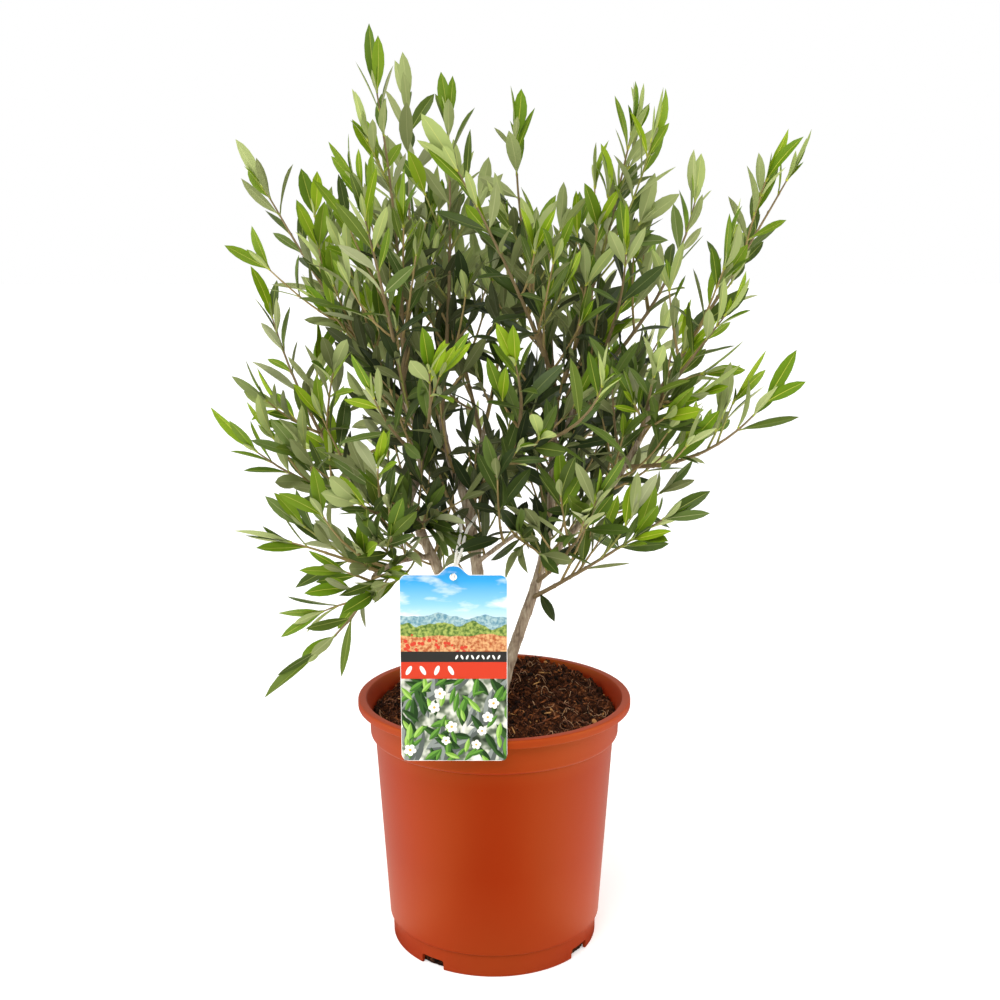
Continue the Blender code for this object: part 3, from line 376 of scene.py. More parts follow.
# The label's print: how far it stands out, the heights at which its fields begin, in millimetres, its
# colours, and the shapes in its fields.
PRINT_PROUD = 0.05 * MM
PRINT_LAYER = 0.0016 * MM      # each printed shape lies this much over the one before
LABEL_RED_FROM = 59.5
LABEL_GREY_FROM = 71.5
LABEL_SCENE_FROM = 79.0
PRINT_RED = "#D23A1C"
PRINT_GREY = "#33322F"
PRINT_INKS = {
    "grey": "#5B635E", "grey_light": "#8B938E", "dark": "#23401A", "dark_light": "#365C26",
    "green": "#437424", "green_light": "#659A38", "bright": "#78A93A", "bright_light": "#A2CB62",
    "petal": "#F3F3EC", "eye": "#E0B43C",
}
PRINT_HILLS = (                # crest, its swell and the length of its waves, in mm, and two colours
    (104.0, 8.0, 26.0, "#5C8FA3", "#A9C6C8"), (98.0, 11.0, 19.0, "#4D6F2C", "#A8B85C"),
    (90.0, 6.0, 33.0, "#B0582C", "#E3B27A"),
)
PRINT_LEAVES = (               # tone, count, range of lengths in mm, mean direction in degrees
    ("grey", 30, (16.0, 26.0), 60.0), ("dark", 34, (12.0, 20.0), 125.0),
    ("green", 34, (9.0, 17.0), 50.0), ("bright", 20, (8.0, 13.0), 110.0),
)
PRINT_ORNAMENTS = (            # height on the card, size, first and last place, all in mm, and count
    (65.5, 3.6, -31.0, -2.0, 4), (75.0, 1.7, 2.0, 31.0, 9),
)

# Light.
WORLD_STRENGTH = 0.75          # light from the back, the sides and above
WORLD_FRONT = 0.12             # light from the camera's side
FLOOR_MIRRORED = "#282828"     # the floor as gloss mirrors it
FLOOR_GLOW = 0.35              # keeps the floor as white as the surround
OVERHEAD_FROM = (-0.35, -0.75, 1.0)          # the wide overhead light shines from here
OVERHEAD_STRENGTH = 1.95
OVERHEAD_ANGLE = math.radians(50.0)
LAMP_COLOUR = (1.0, 0.93, 0.85)
LIGHTS = (                     # name, place, target, size, power
    ("left_softbox", (-1.5, -0.35, 0.6), (0.0, 0.0, 0.2), (1.2, 1.8), 14.0),
    ("right_softbox", (1.5, -0.35, 0.6), (0.0, 0.0, 0.2), (1.2, 1.8), 16.0),
    ("front_strip", (0.25, -1.2, 1.25), (0.0, 0.0, 0.25), (1.4, 0.25), 3.0),
    ("left_card", (-0.34, 0.02, 0.002), (-0.34, 0.02, 1.0), (0.5, 0.7), 1.3),
    ("right_card", (0.34, 0.02, 0.002), (0.34, 0.02, 1.0), (0.5, 0.7), 1.3),
)

# A leaf's own shape: places of its cross rings, and its thickness there.
STATIONS = np.array([0.0, 0.085, 0.20, 0.35, 0.52, 0.69, 0.85])
THICKNESS = np.array([0.85, 0.75, 0.42, 0.36, 0.33, 0.30, 0.27]) * MM
STALK_WIDTH = 0.55 * MM        # half the width of the stalk
RIB_WIDTH = 0.34 * MM          # half the width of the midrib at its foot


# ---------------------------------------------------------------- materials

def srgb(code):
    """A linear colour from a hex sRGB code."""
    parts = [int(code[i:i + 2], 16) / 255.0 for i in (1, 3, 5)]
    linear = [c / 12.92 if c <= 0.04045 else ((c + 0.055) / 1.055) ** 2.4 for c in parts]
    return (*linear, 1.0)


def add_node(tree, kind, settings=None, inputs=None, onto=None):
    """Add a node, set its properties and sockets, and link its result onto a socket, if one is given."""
    node = tree.nodes.new(kind)
    for name, value in (settings or {}).items():
        if name == "stops":
            set_stops(node.color_ramp, value)
        else:
            setattr(node, name, value)
    for name, value in (inputs or {}).items():
        if isinstance(value, bpy.types.Node):
            value = result_of(value)
        if isinstance(value, bpy.types.NodeSocket):
            tree.links.new(value, node.inputs[name])
        else:
            node.inputs[name].default_value = value
    if onto is not None:
        tree.links.new(result_of(node), onto)
    return node


def result_of(node):
    """A node's result: the first of its outputs that is in use."""
    return next(output for output in node.outputs if output.enabled)


def set_stops(color_ramp, stops):
    """Set a colour ramp's (position, colour code) stops."""
    while len(color_ramp.elements) < len(stops):
        color_ramp.elements.new(0.5)
    for element, (position, code) in zip(color_ramp.elements, stops):
        element.position = position
        element.color = srgb(code)


def new_material(name, roughness, **sockets):
    """A material, its node tree and its Principled shader. Sockets are named with _ for a space."""
    made = bpy.data.materials.new(name)
    made.use_nodes = True
    shader = made.node_tree.nodes["Principled BSDF"]
    shader.inputs["Roughness"].default_value = roughness
    for socket, value in sockets.items():
        shader.inputs[socket.replace("_", " ")].default_value = value
    return made, made.node_tree, shader


def new_object(name, data):
    """An object in the scene for a mesh, a light or a camera."""
    made = bpy.data.objects.new(name, data)
    bpy.context.scene.collection.objects.link(made)
    return made


# ---------------------------------------------------------------- limbs and their rule

class Limb:
    """A tapering piece along a parabola from its foot to its reach."""

    def __init__(self, foot, reach, bow, foot_radius, tip_radius, sway=Vector()):
        self.foot = foot
        self.reach = reach
        self.bow = bow
        self.sway = sway
        self.foot_radius = foot_radius
        self.tip_radius = tip_radius
        self.length = sum((self.at((i + 1) / 16) - self.at(i / 16)).length for i in range(16))

    def at(self, t):
        """The point at a place along the limb."""
        straight = self.foot.lerp(self.reach, t)
        return straight + self.bow * (4.0 * t * (1.0 - t)) + self.sway * math.sin(math.tau * t)

    def heading(self, t):
        """The direction in which the limb runs at a place along it."""
        swaying = self.sway * (math.tau * math.cos(math.tau * t))
        return (self.reach - self.foot + self.bow * (4.0 - 8.0 * t) + swaying).normalized()

    def radius(self, t):
        """The radius at a place along the limb."""
        return self.foot_radius + (self.tip_radius - self.foot_radius) * t

    def part(self, share, foot_radius, tip_radius):
        """The first share of the limb as a limb of its own."""
        return Limb(self.foot, self.at(share), self.bow * share * share, foot_radius, tip_radius)

    def samples(self, spacing=SAMPLE_SPACING):
        """Evenly spaced (point, radius) pairs along the limb."""
        count = max(2, math.ceil(self.length / spacing))
        return [(self.at(i / count), self.radius(i / count)) for i in range(count + 1)]


def squared(direction, heading):
    """A direction turned until it is square to the heading."""
    return (direction - heading * direction.dot(heading)).normalized()


def crosswise(heading):
    """A direction that lies across the heading."""
    return squared(Vector((1.0, 0.0, 0.0)) if abs(heading.x) < 0.8 else Vector((0.0, 1.0, 0.0)), heading)


def ring(centre, heading, radius, sides, turn):
    """Corners of a ring square to the heading."""
    first = squared(turn, heading)
    second = heading.cross(first)
    angles = (i * math.tau / sides for i in range(sides))
    return [centre + radius * (first * math.cos(a) + second * math.sin(a)) for a in angles]


def grow_limbs():
    """All stems and boughs as limbs, by name."""
    limbs = {}
    for name, (foot, tip, bow, sway, foot_radius, tip_radius) in STEMS.items():
        start = Vector((foot[0] * MM, foot[1] * MM, SOIL_TOP))
        limbs[name] = Limb(start, Vector(tip) * MM, Vector(bow) * MM, foot_radius * MM,
                           tip_radius * MM, Vector(sway) * MM)
    for name, (parent, place, tip, bow, foot_radius, tip_radius) in BOUGHS.items():
        foot = limbs[parent].at(place)
        limbs[name] = Limb(foot, Vector(tip) * MM, Vector(bow) * MM, foot_radius * MM, tip_radius * MM)
    return limbs


class Shapes:
    """Gathers many closed shapes, each with materials of its own, for one mesh."""

    def __init__(self):
        self.points = []
        self.faces = []
        self.surfaces = []

    def add(self, corners, faces, surfaces):
        """Add one shape, with a material number for each of its faces."""
        start = len(self.points)
        self.points.extend(tuple(corner) for corner in corners)
        self.faces.extend(tuple(start + i for i in face) for face in faces)
        self.surfaces.extend(surfaces)

    def add_tube(self, rings, surface=0, closed=False):
        """Add a tube through rings of equal corner counts, with two ends or closed on itself."""
        sides = len(rings[0])
        total = len(rings) * sides
        faces = []
        for low in range(0, total if closed else total - sides, sides):
            high = (low + sides) % total
            for i in range(sides):
                j = (i + 1) % sides
                faces.append((low + i, low + j, high + j, high + i))
        if not closed:
            faces.append(tuple(reversed(range(sides))))
            faces.append(tuple(range(total - sides, total)))
        self.add([corner for corners in rings for corner in corners], faces, [surface] * len(faces))

    def build(self, name, materials, smooth=True):
        """Make one object of all shapes."""
        mesh = bpy.data.meshes.new(name)
        mesh.from_pydata(self.points, [], self.faces)
        for surface in materials:
            mesh.materials.append(surface)
        mesh.polygons.foreach_set("material_index", self.surfaces)
        if smooth:
            mesh.shade_smooth()
        return new_object(name, mesh)


def seen_within(point, ovals):
    """Whether a place is seen from the camera inside one of the ovals."""
    share = EYE.y / (EYE.y - point.y)
    x = EYE.x + (point.x - EYE.x) * share
    z = EYE.z + (point.z - EYE.z) * share
    return any(((x - cx * MM) / (half_x * MM)) ** 2 + ((z - cz * MM) / (half_z * MM)) ** 2 < 1.0
               for cx, cz, half_x, half_z in ovals)


class Room:
    """A grid that tells how far a point is from everything that has been put in it."""

    def __init__(self):
        self.kept = {}

    def cell_of(self, point):
        """The grid cell that a point is in."""
        return tuple(math.floor(c / ROOM_CELL) for c in point)

    def put(self, point, radius):
        """Keep a ball."""
        self.kept.setdefault(self.cell_of(point), []).append((point, radius))

    def clear(self, point):
        """Distance from a point to the nearest ball kept, or a cell's width if that is less."""
        x, y, z = self.cell_of(point)
        best = ROOM_CELL
        for i in (x - 1, x, x + 1):
            for j in (y - 1, y, y + 1):
                for k in (z - 1, z, z + 1):
                    for kept, radius in self.kept.get((i, j, k), ()):
                        best = min(best, (point - kept).length - radius)
        return best


class Plant:
    """The growing plant: its limbs and leaders, the room that is taken, its twigs and its leaves."""

    def __init__(self, limbs, leaders, side_shoots):
        self.limbs = limbs
        self.names = list(leaders)
        owned = list(leaders.items()) + side_shoots
        samples = [(self.names.index(name), point)
                   for name, twig in owned for point, radius in twig.samples()]
        self.owners = np.array([index for index, point in samples])
        self.points = np.array([tuple(point) for index, point in samples])
        self.wood = Room()
        self.blades = Room()
        self.twigs = []
        self.leaves = []
        for limb in list(limbs.values()) + [twig for name, twig in owned]:
            for point, radius in limb.samples():
                self.wood.put(point, radius)

    def holds(self, name, point):
        """Whether a point lies in the mass's own space."""
        reach = np.linalg.norm(self.points - np.array(point), axis=1)
        mine = self.owners == self.names.index(name)
        own = reach[mine].min()
        return own < SPACE_WIDTH and reach[~mine].min() - own > -SPACE_OVERLAP


def light_share(point):
    """How much light a place gets: 0 in the middle of the crown, 1 at its outside."""
    off = Vector(((point.x - INNER.x) / CROWN_REACH.x, (point.y - INNER.y) / CROWN_REACH.y,
                  (point.z - INNER.z) / CROWN_REACH.z))
    low = max(0.0, (400.0 * MM - point.z) / (160.0 * MM))
    return min(1.0, max(0.0, (off.length - 0.30) / 0.55 - 0.35 * low * (1.0 - min(1.0, abs(off.x)))))


# ---------------------------------------------------------------- foliage

class Growth:
    """What grows from one leader or spur by the rule: shoots, and leaves in opposite pairs."""

    def __init__(self, name, plant, owner, vigour=1.0):
        self.rng = random.Random(name)
        self.plant = plant
        self.owner = owner
        self.vigour = vigour

    def allowed(self, point, room):
        """Whether a point keeps to the mass's space and clear of the wood."""
        if point.z < LOWEST_LEAF or seen_within(point, OPENINGS):
            return False
        if self.owner and not self.plant.holds(self.owner, point):
            return False
        return self.plant.wood.clear(point) > room

    def add_twig(self, twig):
        """Keep a twig with the places of its pairs."""
        self.plant.twigs.append((twig, self.pair_places(twig)))

    def pair_places(self, twig):
        """Distances of a twig's pairs below its tip, the youngest first."""
        places = []
        below = NODE_FIRST
        space = NODE_FIRST
        while below < twig.length - FOOT_CLEAR:
            places.append(below)
            space = min(NODE_LONGEST, space + NODE_GROWTH)
            below += space
        return places

    def add_leaf(self, twig, t, along, outward, rank, below):
        """Add one leaf of a pair, at the first angle at which it has room, if any."""
        foot = twig.at(t)
        light = light_share(foot)
        old = min(1.0, below / OLD_BELOW)
        shade = (1.0 - light) * (0.45 + 0.55 * old)
        drop = LEAF_DROP * old if self.owner else SPUR_LEAF_DROP
        if foot.z > HIGH_LEAF:
            drop *= HIGH_DROP
        if seen_within(foot, BARE_PLACES):
            drop = BARE_DROP
        if seen_within(foot, FULL_PLACES):
            drop *= FULL_DROP
        if self.rng.random() < drop * (1.0 - 0.5 * light):
            return
        step = min(rank, len(RANK_LENGTHS) - 1)
        length = LEAF_LENGTH * RANK_LENGTHS[step] * self.rng.uniform(0.72, 1.14)
        angle = math.radians(RANK_ANGLES[step] + self.rng.uniform(-8.0, 8.0))
        angle += SHADE_SPREAD * shade * self.rng.uniform(0.3, 1.3)
        lift = LEAF_LIFT * (1.0 - 2.6 * shade * self.rng.random())
        outside = self.outside_of(foot)
        for turn in LEAF_TURNS:
            heading = along * math.cos(angle) + outward * math.sin(angle) + UP * lift
            heading.normalize()
            inner_side = squared(along - outward, heading)
            facing = outside * (1.1 * (1.0 - abs(outward.dot(outside))) + 0.15)
            upper = squared(inner_side * 0.55 + UP * 0.2 + facing, heading)
            upper = Matrix.Rotation(self.rng.gauss(0.0, LEAF_TWIST), 3, heading) @ upper
            root = foot - heading * twig.radius(t) * LEAF_SINK
            line = [root + heading * (length * share) for share in LEAF_PROBES]
            free = all(self.plant.blades.clear(point) > LEAF_ROOM for point in line)
            if free and all(self.allowed(point, 1.2 * MM) for point in line):
                self.keep_leaf(root, heading, upper, length, rank, shade)
                for point in line:
                    self.plant.blades.put(point, LEAF_ROOM)
                return
            angle += math.radians(turn)
            length *= LEAF_CUT

    def outside_of(self, foot):
        """A direction out of the crown, which for some leaves is the way to its nearer long side."""
        rng = self.rng
        away = foot - INNER
        away = Vector((away.x, away.y * 1.3, 0.25 * away.z)).normalized()
        if rng.random() < BROADSIDE_SHARE:
            side = -1.0 if foot.y - INNER.y < rng.uniform(-20.0, 60.0) * MM else 1.0
            away = Vector((rng.gauss(0.0, 0.4), side, 0.1)).normalized()
        return -away if rng.random() < UNDERSIDE_SHARE else away

    def keep_leaf(self, root, heading, upper, length, rank, shade):
        """Keep a leaf with its own bend, fold and tone."""
        rng = self.rng
        slender = LEAF_SLENDER * rng.uniform(0.78, 1.24) * (1.0 - 0.22 * shade)
        bend = rng.gauss(0.05, 0.07) + 0.26 * shade * rng.random()
        fold = rng.uniform(0.10, 0.55)
        sickle = rng.gauss(0.0, 0.055)
        turn = rng.gauss(0.0, 0.32)
        self.plant.leaves.append(
            (root, heading, upper, length, slender * length, bend, fold, sickle, turn,
             self.tone_of(root, rank, shade)))

    def tone_of(self, root, rank, shade):
        """Which tone a leaf takes: by its age, and darker by painted shade where it gets less light."""
        rng = self.rng
        dark = shade + rng.gauss(0.0, 0.09)
        # painted shade: leaves among the bare twigs take darker tones
        if seen_within(root, BARE_PLACES):
            dark += BARE_SHADE
        if dark > DEEP_FROM:
            return "deep"
        if dark > SHADED_FROM:
            return "shaded"
        young = self.vigour * (1.0 - rank / 3.5) + rng.gauss(0.0, 0.28) - 0.6 * shade
        if young > YOUNG_FROM:
            return "young"
        if young > FRESH_FROM:
            return "fresh"
        if rng.random() < DULL_SHARE:
            return "dull"
        return "mature"

    def clothe(self, twig, order):
        """Walk down a twig from its tip, giving off leaves or side shoots in opposite pairs."""
        spin = self.rng.uniform(0.0, math.pi)
        for index, below in enumerate(self.pair_places(twig)):
            t = 1.0 - below / twig.length
            along = twig.heading(t)
            across = crosswise(along)
            spin += 0.5 * math.pi + self.rng.gauss(0.0, 0.16)
            for side in (0, 1):
                outward = Matrix.Rotation(spin + side * math.pi, 3, along) @ across
                hangs = outward.z < HANGING and along.z > 0.5 * HANGING
                often = SHOOT_CHANCE[order] * (1.0 if (index + side) % 2 == 0 else 0.55)
                if below > SHOOT_FROM[order] and not hangs and self.rng.random() < often:
                    if self.add_shoot(twig, t, along, outward, below, order):
                        continue
                self.add_leaf(twig, t, along, outward, index + 1, below)

    def add_shoot(self, twig, t, along, outward, below, order):
        """Add a side shoot with its own leaves, as long as its space allows."""
        length = min(SHOOT_LONGEST, SHOOT_BASE + SHOOT_SHARE * below) * self.rng.uniform(0.8, 1.15)
        angle = SHOOT_ANGLE * self.rng.uniform(0.75, 1.1)
        heading = (along * math.cos(angle) + outward * math.sin(angle)).normalized()
        foot = twig.at(t)
        radius = min(0.72 * twig.radius(t), 0.45 * MM + 0.011 * length)
        while length > SHOOT_SHORTEST:
            reach = foot + (heading + UP * SHOOT_LIFT).normalized() * length
            sway = Vector([self.rng.gauss(0.0, 0.02) * length for _ in range(3)])
            shoot = Limb(foot, reach, -UP * (0.25 * SHOOT_LIFT * length) + sway, radius, TWIG_TIP_RADIUS)
            points = [shoot.at(share) for share in (0.35, 0.6, 0.8, 1.0)]
            if all(self.allowed(point, radius + 1.8 * MM) for point in points):
                self.add_twig(shoot)
                for point, thick in shoot.samples(4.0 * MM):
                    if (point - foot).length > 4.0 * MM:
                        self.plant.wood.put(point, thick)
                if not (seen_within(foot, BARE_PLACES) and self.rng.random() < 0.5 * BARE_DROP):
                    self.add_tip(shoot)
                self.clothe(shoot, order + 1)
                return True
            length *= SHOOT_CUT
        return False

    def add_tip(self, twig, reach=None):
        """Close a twig with two pairs of leaves. One leaf ends at the reach, if one is given."""
        rng = self.rng
        along = twig.heading(1.0)
        foot = twig.at(1.0)
        outside = self.outside_of(foot)
        across = squared(outside, along).cross(along)
        across = Matrix.Rotation(rng.gauss(0.0, 0.5), 3, along) @ across
        # shade here also sets painted shade in the tips' leaf tones, more for spurs deep in the crown
        shade = (1.0 - light_share(foot)) * (0.35 if self.owner else 0.85)
        for side in (1.0, -1.0):
            angle = math.radians(rng.uniform(12.0, 24.0))
            heading = (along * math.cos(angle) + across * side * math.sin(angle)).normalized()
            length = LEAF_LENGTH * rng.uniform(0.80, 1.0)
            if reach is not None and side > 0.0:
                heading = (reach - foot).normalized()
                length = (reach - foot).length
            upper = squared(squared(along - across * side, heading) * 0.3 + outside, heading)
            upper = Matrix.Rotation(rng.gauss(0.0, 0.35), 3, heading) @ upper
            self.keep_leaf(foot - heading * 0.3 * MM, heading, upper, length, 0, shade)
            for share in (0.5, 0.9):
                self.plant.blades.put(foot + heading * share * length, LEAF_ROOM)
        bud_turn = Matrix.Rotation(0.5 * math.pi, 3, along) @ across
        for side in (1.0, -1.0):
            heading = (along + bud_turn * side * 0.2).normalized()
            upper = Matrix.Rotation(rng.gauss(0.0, 0.6), 3, heading) @ squared(-bud_turn * side, heading)
            length = rng.uniform(12.0, 25.0) * MM
            self.keep_leaf(foot - heading * 0.3 * MM, heading, upper, length, 0, 0.5 * shade)


def leader_towards(foot, reach, bow, radius):
    """A twig that stops short of its reach by the length of its last leaf."""
    whole = Limb(foot, Vector(reach) * MM, Vector(bow) * MM, radius, radius)
    return whole.part(1.0 - TIP_LEAF_LENGTH / whole.length, radius, TWIG_TIP_RADIUS)


def grow_plant():
    """Grow the limbs and all that they carry."""
    limbs = grow_limbs()
    leaders = {}
    for name, (parent, place, reach, bow) in MASSES.items():
        limb = limbs[parent]
        radius = min(0.9 * limb.radius(place), TWIG_LARGEST_RADIUS)
        leaders[name] = leader_towards(limb.at(place), reach, bow, radius)
    side_shoots = []
    for name, place, reach, bow in SIDE_SHOOTS:
        leader = leaders["foliage_" + name]
        radius = min(0.8 * leader.radius(place), SIDE_SHOOT_RADIUS)
        side_shoots.append(("foliage_" + name, leader_towards(leader.at(place), reach, bow, radius)))
    plant = Plant(limbs, leaders, side_shoots)
    growths = {name: Growth(name, plant, name, VIGOUR.get(name.removeprefix("foliage_"), 1.0))
               for name in leaders}
    reaches = [row[2] for row in MASSES.values()] + [row[2] for row in SIDE_SHOOTS]
    main_twigs = list(leaders.items()) + side_shoots
    for (name, twig), reach in zip(main_twigs, reaches):
        growths[name].add_twig(twig)
        growths[name].add_tip(twig, Vector(reach) * MM)
    for name, twig in main_twigs:
        growths[name].clothe(twig, 0)
    for name, limb in limbs.items():
        add_spurs(name, limb, plant)
    return plant


def add_spurs(name, limb, plant):
    """Short leafy spurs along the upper part of a limb."""
    growth = Growth(name + "_spurs", plant, None, 0.4)
    spin = 0.0
    for step in range(1, int(limb.length / SPUR_SPACING)):
        t = step * SPUR_SPACING / limb.length
        foot = limb.at(t)
        spin += SPUR_TURN
        if foot.z < SPUR_FROM:
            continue
        along = limb.heading(t)
        outward = Matrix.Rotation(spin, 3, along) @ crosswise(along)
        growth.add_shoot(limb, t, along, outward, growth.rng.uniform(30.0, 150.0) * MM, 1)


def twig_rings(twig, places, rng):
    """Rings along a twig, thicker at each pair of leaves and a little off line there."""
    turn = crosswise(twig.heading(0.5))
    shares = {0.0: 1.0, 1.0: 1.0}
    for below in places:
        t = 1.0 - below / twig.length
        reach = 1.6 * MM / twig.length
        shares[t] = NODE_SWELL
        shares[max(0.0, t - reach)] = 1.03
        shares[min(1.0, t + reach)] = 1.0
    for step in range(1, int(twig.length / (9.0 * MM)) + 1):
        t = step * 9.0 * MM / twig.length
        if all(abs(t - other) * twig.length > 3.0 * MM for other in shares):
            shares[t] = 1.0
    rings = []
    for t in sorted(shares):
        wander = Vector((rng.uniform(-1, 1), rng.uniform(-1, 1), rng.uniform(-1, 1))) * 0.12 * MM
        radius = twig.radius(t) * shares[t]
        rings.append(ring(twig.at(t) + wander, twig.heading(t), radius, TWIG_SIDES, turn))
    return rings


def build_twigs(plant):
    """All twigs, in pieces by the colour of their bark."""
    rng = random.Random("twig bark")
    groups = {name: Shapes() for name in TWIG_COLOURS}
    for twig, places in plant.twigs:
        thick = twig.foot_radius + rng.gauss(0.0, 0.12 * MM)
        group = "old" if thick > OLD_TWIG else "tan" if thick > TAN_TWIG else "green"
        groups[group].add_tube(twig_rings(twig, places, rng))
    return [shapes.build("twigs_" + group, [twig_material(group)]) for group, shapes in groups.items()]


def twig_material(group):
    """Bark of a young twig: dull, with a grain of about a millimetre."""
    made, tree, shader = new_material("twig_bark_" + group, 0.62, Base_Color=srgb(TWIG_COLOURS[group]))
    place = add_node(tree, "ShaderNodeTexCoord").outputs["Object"]
    grain = add_node(tree, "ShaderNodeTexNoise", inputs={
        "Vector": place, "Scale": 1.0 / (1.2 * MM), "Detail": 3.0})
    add_node(tree, "ShaderNodeBump", inputs={"Height": grain, "Distance": 0.15 * MM},
             onto=shader.inputs["Normal"])
    return made


def leaf_arrays(leaves):
    """Corner places of all leaves at once: eight round each cross ring, and one at each tip."""
    root, heading, upper = (np.array([tuple(leaf[i]) for leaf in leaves])[:, None, :] for i in range(3))
    length, width, bend, fold, sickle, turn = (
        np.array([leaf[i] for leaf in leaves])[:, None] for i in range(3, 9))
    right = np.cross(heading, upper)
    places = np.append(STATIONS, 1.0)[None, :]
    blade = np.clip((places - STATIONS[1]) / (1.0 - STATIONS[1]), 0.0, 1.0)
    half = 0.5 * width * np.sin(np.pi * blade ** 1.05) ** 0.72
    half = np.maximum(half, STALK_WIDTH * (places < 0.9))
    half[:, -1] = 0.0
    curve = bend * places ** 2
    middle = (root + heading * (length * places)[..., None]
              - upper * (curve * length)[..., None] + right * (sickle * length * places ** 2)[..., None])
    tilt = np.arctan(2.0 * bend * places)[..., None]
    lifted = upper * np.cos(tilt) + heading * np.sin(tilt)
    spin = (turn * places)[..., None]
    side = right * np.cos(spin) + lifted * np.sin(spin)
    lifted = lifted * np.cos(spin) - right * np.sin(spin)
    thick = np.append(THICKNESS, 0.0)[None, :]
    rib = np.minimum(RIB_WIDTH * (1.0 - 0.7 * places), 0.8 * half)
    rise = fold * half
    camber = 0.06 * half
    flat = np.zeros_like(half)
    columns = [
        (-half, 0.78 * rise), (-0.55 * half, 0.55 * rise + camber), (-rib, flat + 0.15 * thick),
        (rib, flat + 0.15 * thick), (0.55 * half, 0.55 * rise + camber), (half, 0.78 * rise),
        (1.3 * rib, flat - thick), (-1.3 * rib, flat - thick)]
    corners = [middle + side * across[..., None] + lifted * high[..., None] for across, high in columns]
    grid = np.stack(corners, axis=2)
    rings = grid[:, :-1].reshape(len(leaves), -1, 3)
    return np.concatenate([rings, middle[:, -1:, :]], axis=1)


def leaf_faces():
    """Corner numbers and surface numbers of one leaf's faces."""
    rows = len(STATIONS)
    part_of = [0, 0, 2, 0, 0, 1, 3, 1]
    faces = []
    surfaces = []
    for row in range(rows - 1):
        for i in range(8):
            j = (i + 1) % 8
            faces.append((row * 8 + i, row * 8 + j, row * 8 + 8 + j, row * 8 + 8 + i))
            surfaces.append(2 if row == 0 else part_of[i])
    last = (rows - 1) * 8
    for i in range(8):
        faces.append((last + i, last + (i + 1) % 8, rows * 8))
        surfaces.append(part_of[i])
    faces.append(tuple(reversed(range(8))))
    surfaces.append(2)
    return faces, surfaces


def build_leaves(plant):
    """All leaves, one piece for each tone. Each leaf has one of the tone's colours on its upper side."""
    faces, parts = leaf_faces()
    rng = random.Random("leaf colours")
    pieces = []
    for tone, (uppers, *rest) in LEAF_TONES.items():
        shapes = Shapes()
        for corners in leaf_arrays([leaf for leaf in plant.leaves if leaf[-1] == tone]):
            upper = rng.randrange(len(uppers))
            shapes.add(corners, faces, [upper + 3 if part == 0 else part - 1 for part in parts])
        piece = shapes.build("leaves_" + tone, leaf_materials(tone, uppers, *rest))
        piece.data.set_sharp_from_angle(angle=math.radians(62.0))
        pieces.append(piece)
    return pieces


def leaf_materials(tone, uppers, under, rib, under_rib, roughness, gloss):
    """Olive leaf: waxy and a little glossy above, felted and dull below, with a paler midrib."""
    surfaces = []
    for part, code, rough in ([("under", under, 0.75), ("rib", rib, 0.5), ("under_rib", under_rib, 0.6)]
                              + [("upper_%d" % i, code, roughness) for i, code in enumerate(uppers)]):
        made, tree, shader = new_material("leaf_%s_%s" % (tone, part), rough, Base_Color=srgb(code),
                                          Specular_IOR_Level=gloss)
        place = add_node(tree, "ShaderNodeTexCoord").outputs["Object"]
        grain = add_node(tree, "ShaderNodeTexNoise", inputs={
            "Vector": place, "Scale": 1.0 / (4.0 * MM), "Detail": 1.0})
        add_node(tree, "ShaderNodeBump", inputs={"Height": grain, "Distance": 0.12 * MM},
                 onto=shader.inputs["Normal"])
        surfaces.append(made)
    return surfaces


# ---------------------------------------------------------------- bark

def limb_tube(limb, start, sunk):
    """Rings along a limb, with node swellings, and a collar or a flare at its foot."""
    turn = crosswise(limb.heading(0.5))
    rings = []
    if sunk:
        foot = limb.foot - UP * STEM_SUNK
        rings.append(ring(foot, UP, limb.foot_radius * (1.0 + FLARE_SPREAD), LIMB_SIDES, turn))
    count = max(3, math.ceil(limb.length / LIMB_RING_SPACING))
    for i in range(count + 1):
        t = i / count
        along = t * limb.length
        radius = limb.radius(t)
        if sunk:
            radius += FLARE_SPREAD * limb.foot_radius * max(0.0, 1.0 - along / FLARE_HEIGHT) ** 2
        else:
            radius *= 1.0 + COLLAR_SWELL * max(0.0, 1.0 - along / COLLAR_LENGTH) ** 2
        node = (along + start) % NODE_SPACING_OLD
        radius *= 1.0 + 0.10 * math.exp(-((node - 0.5 * NODE_SPACING_OLD) / (2.2 * MM)) ** 2)
        rings.append(ring(limb.at(t), limb.heading(t), radius, LIMB_SIDES, turn))
    return rings


def build_bark(limbs):
    """One mesh of all stems and boughs, grown together, with the relief of the bark."""
    shapes = Shapes()
    rng = random.Random("bark nodes")
    for name, limb in limbs.items():
        shapes.add_tube(limb_tube(limb, rng.uniform(0.0, NODE_SPACING_OLD), name in STEMS))
    bark = shapes.build("bark", [bark_material()])
    apply_modifier(bark, "Grown together", 'REMESH', mode='VOXEL', voxel_size=BARK_VOXEL,
                   use_smooth_shade=True)
    apply_modifier(bark, "Fillets", 'SMOOTH', factor=0.5, iterations=6)
    carve_bark(bark, limbs)
    return bark


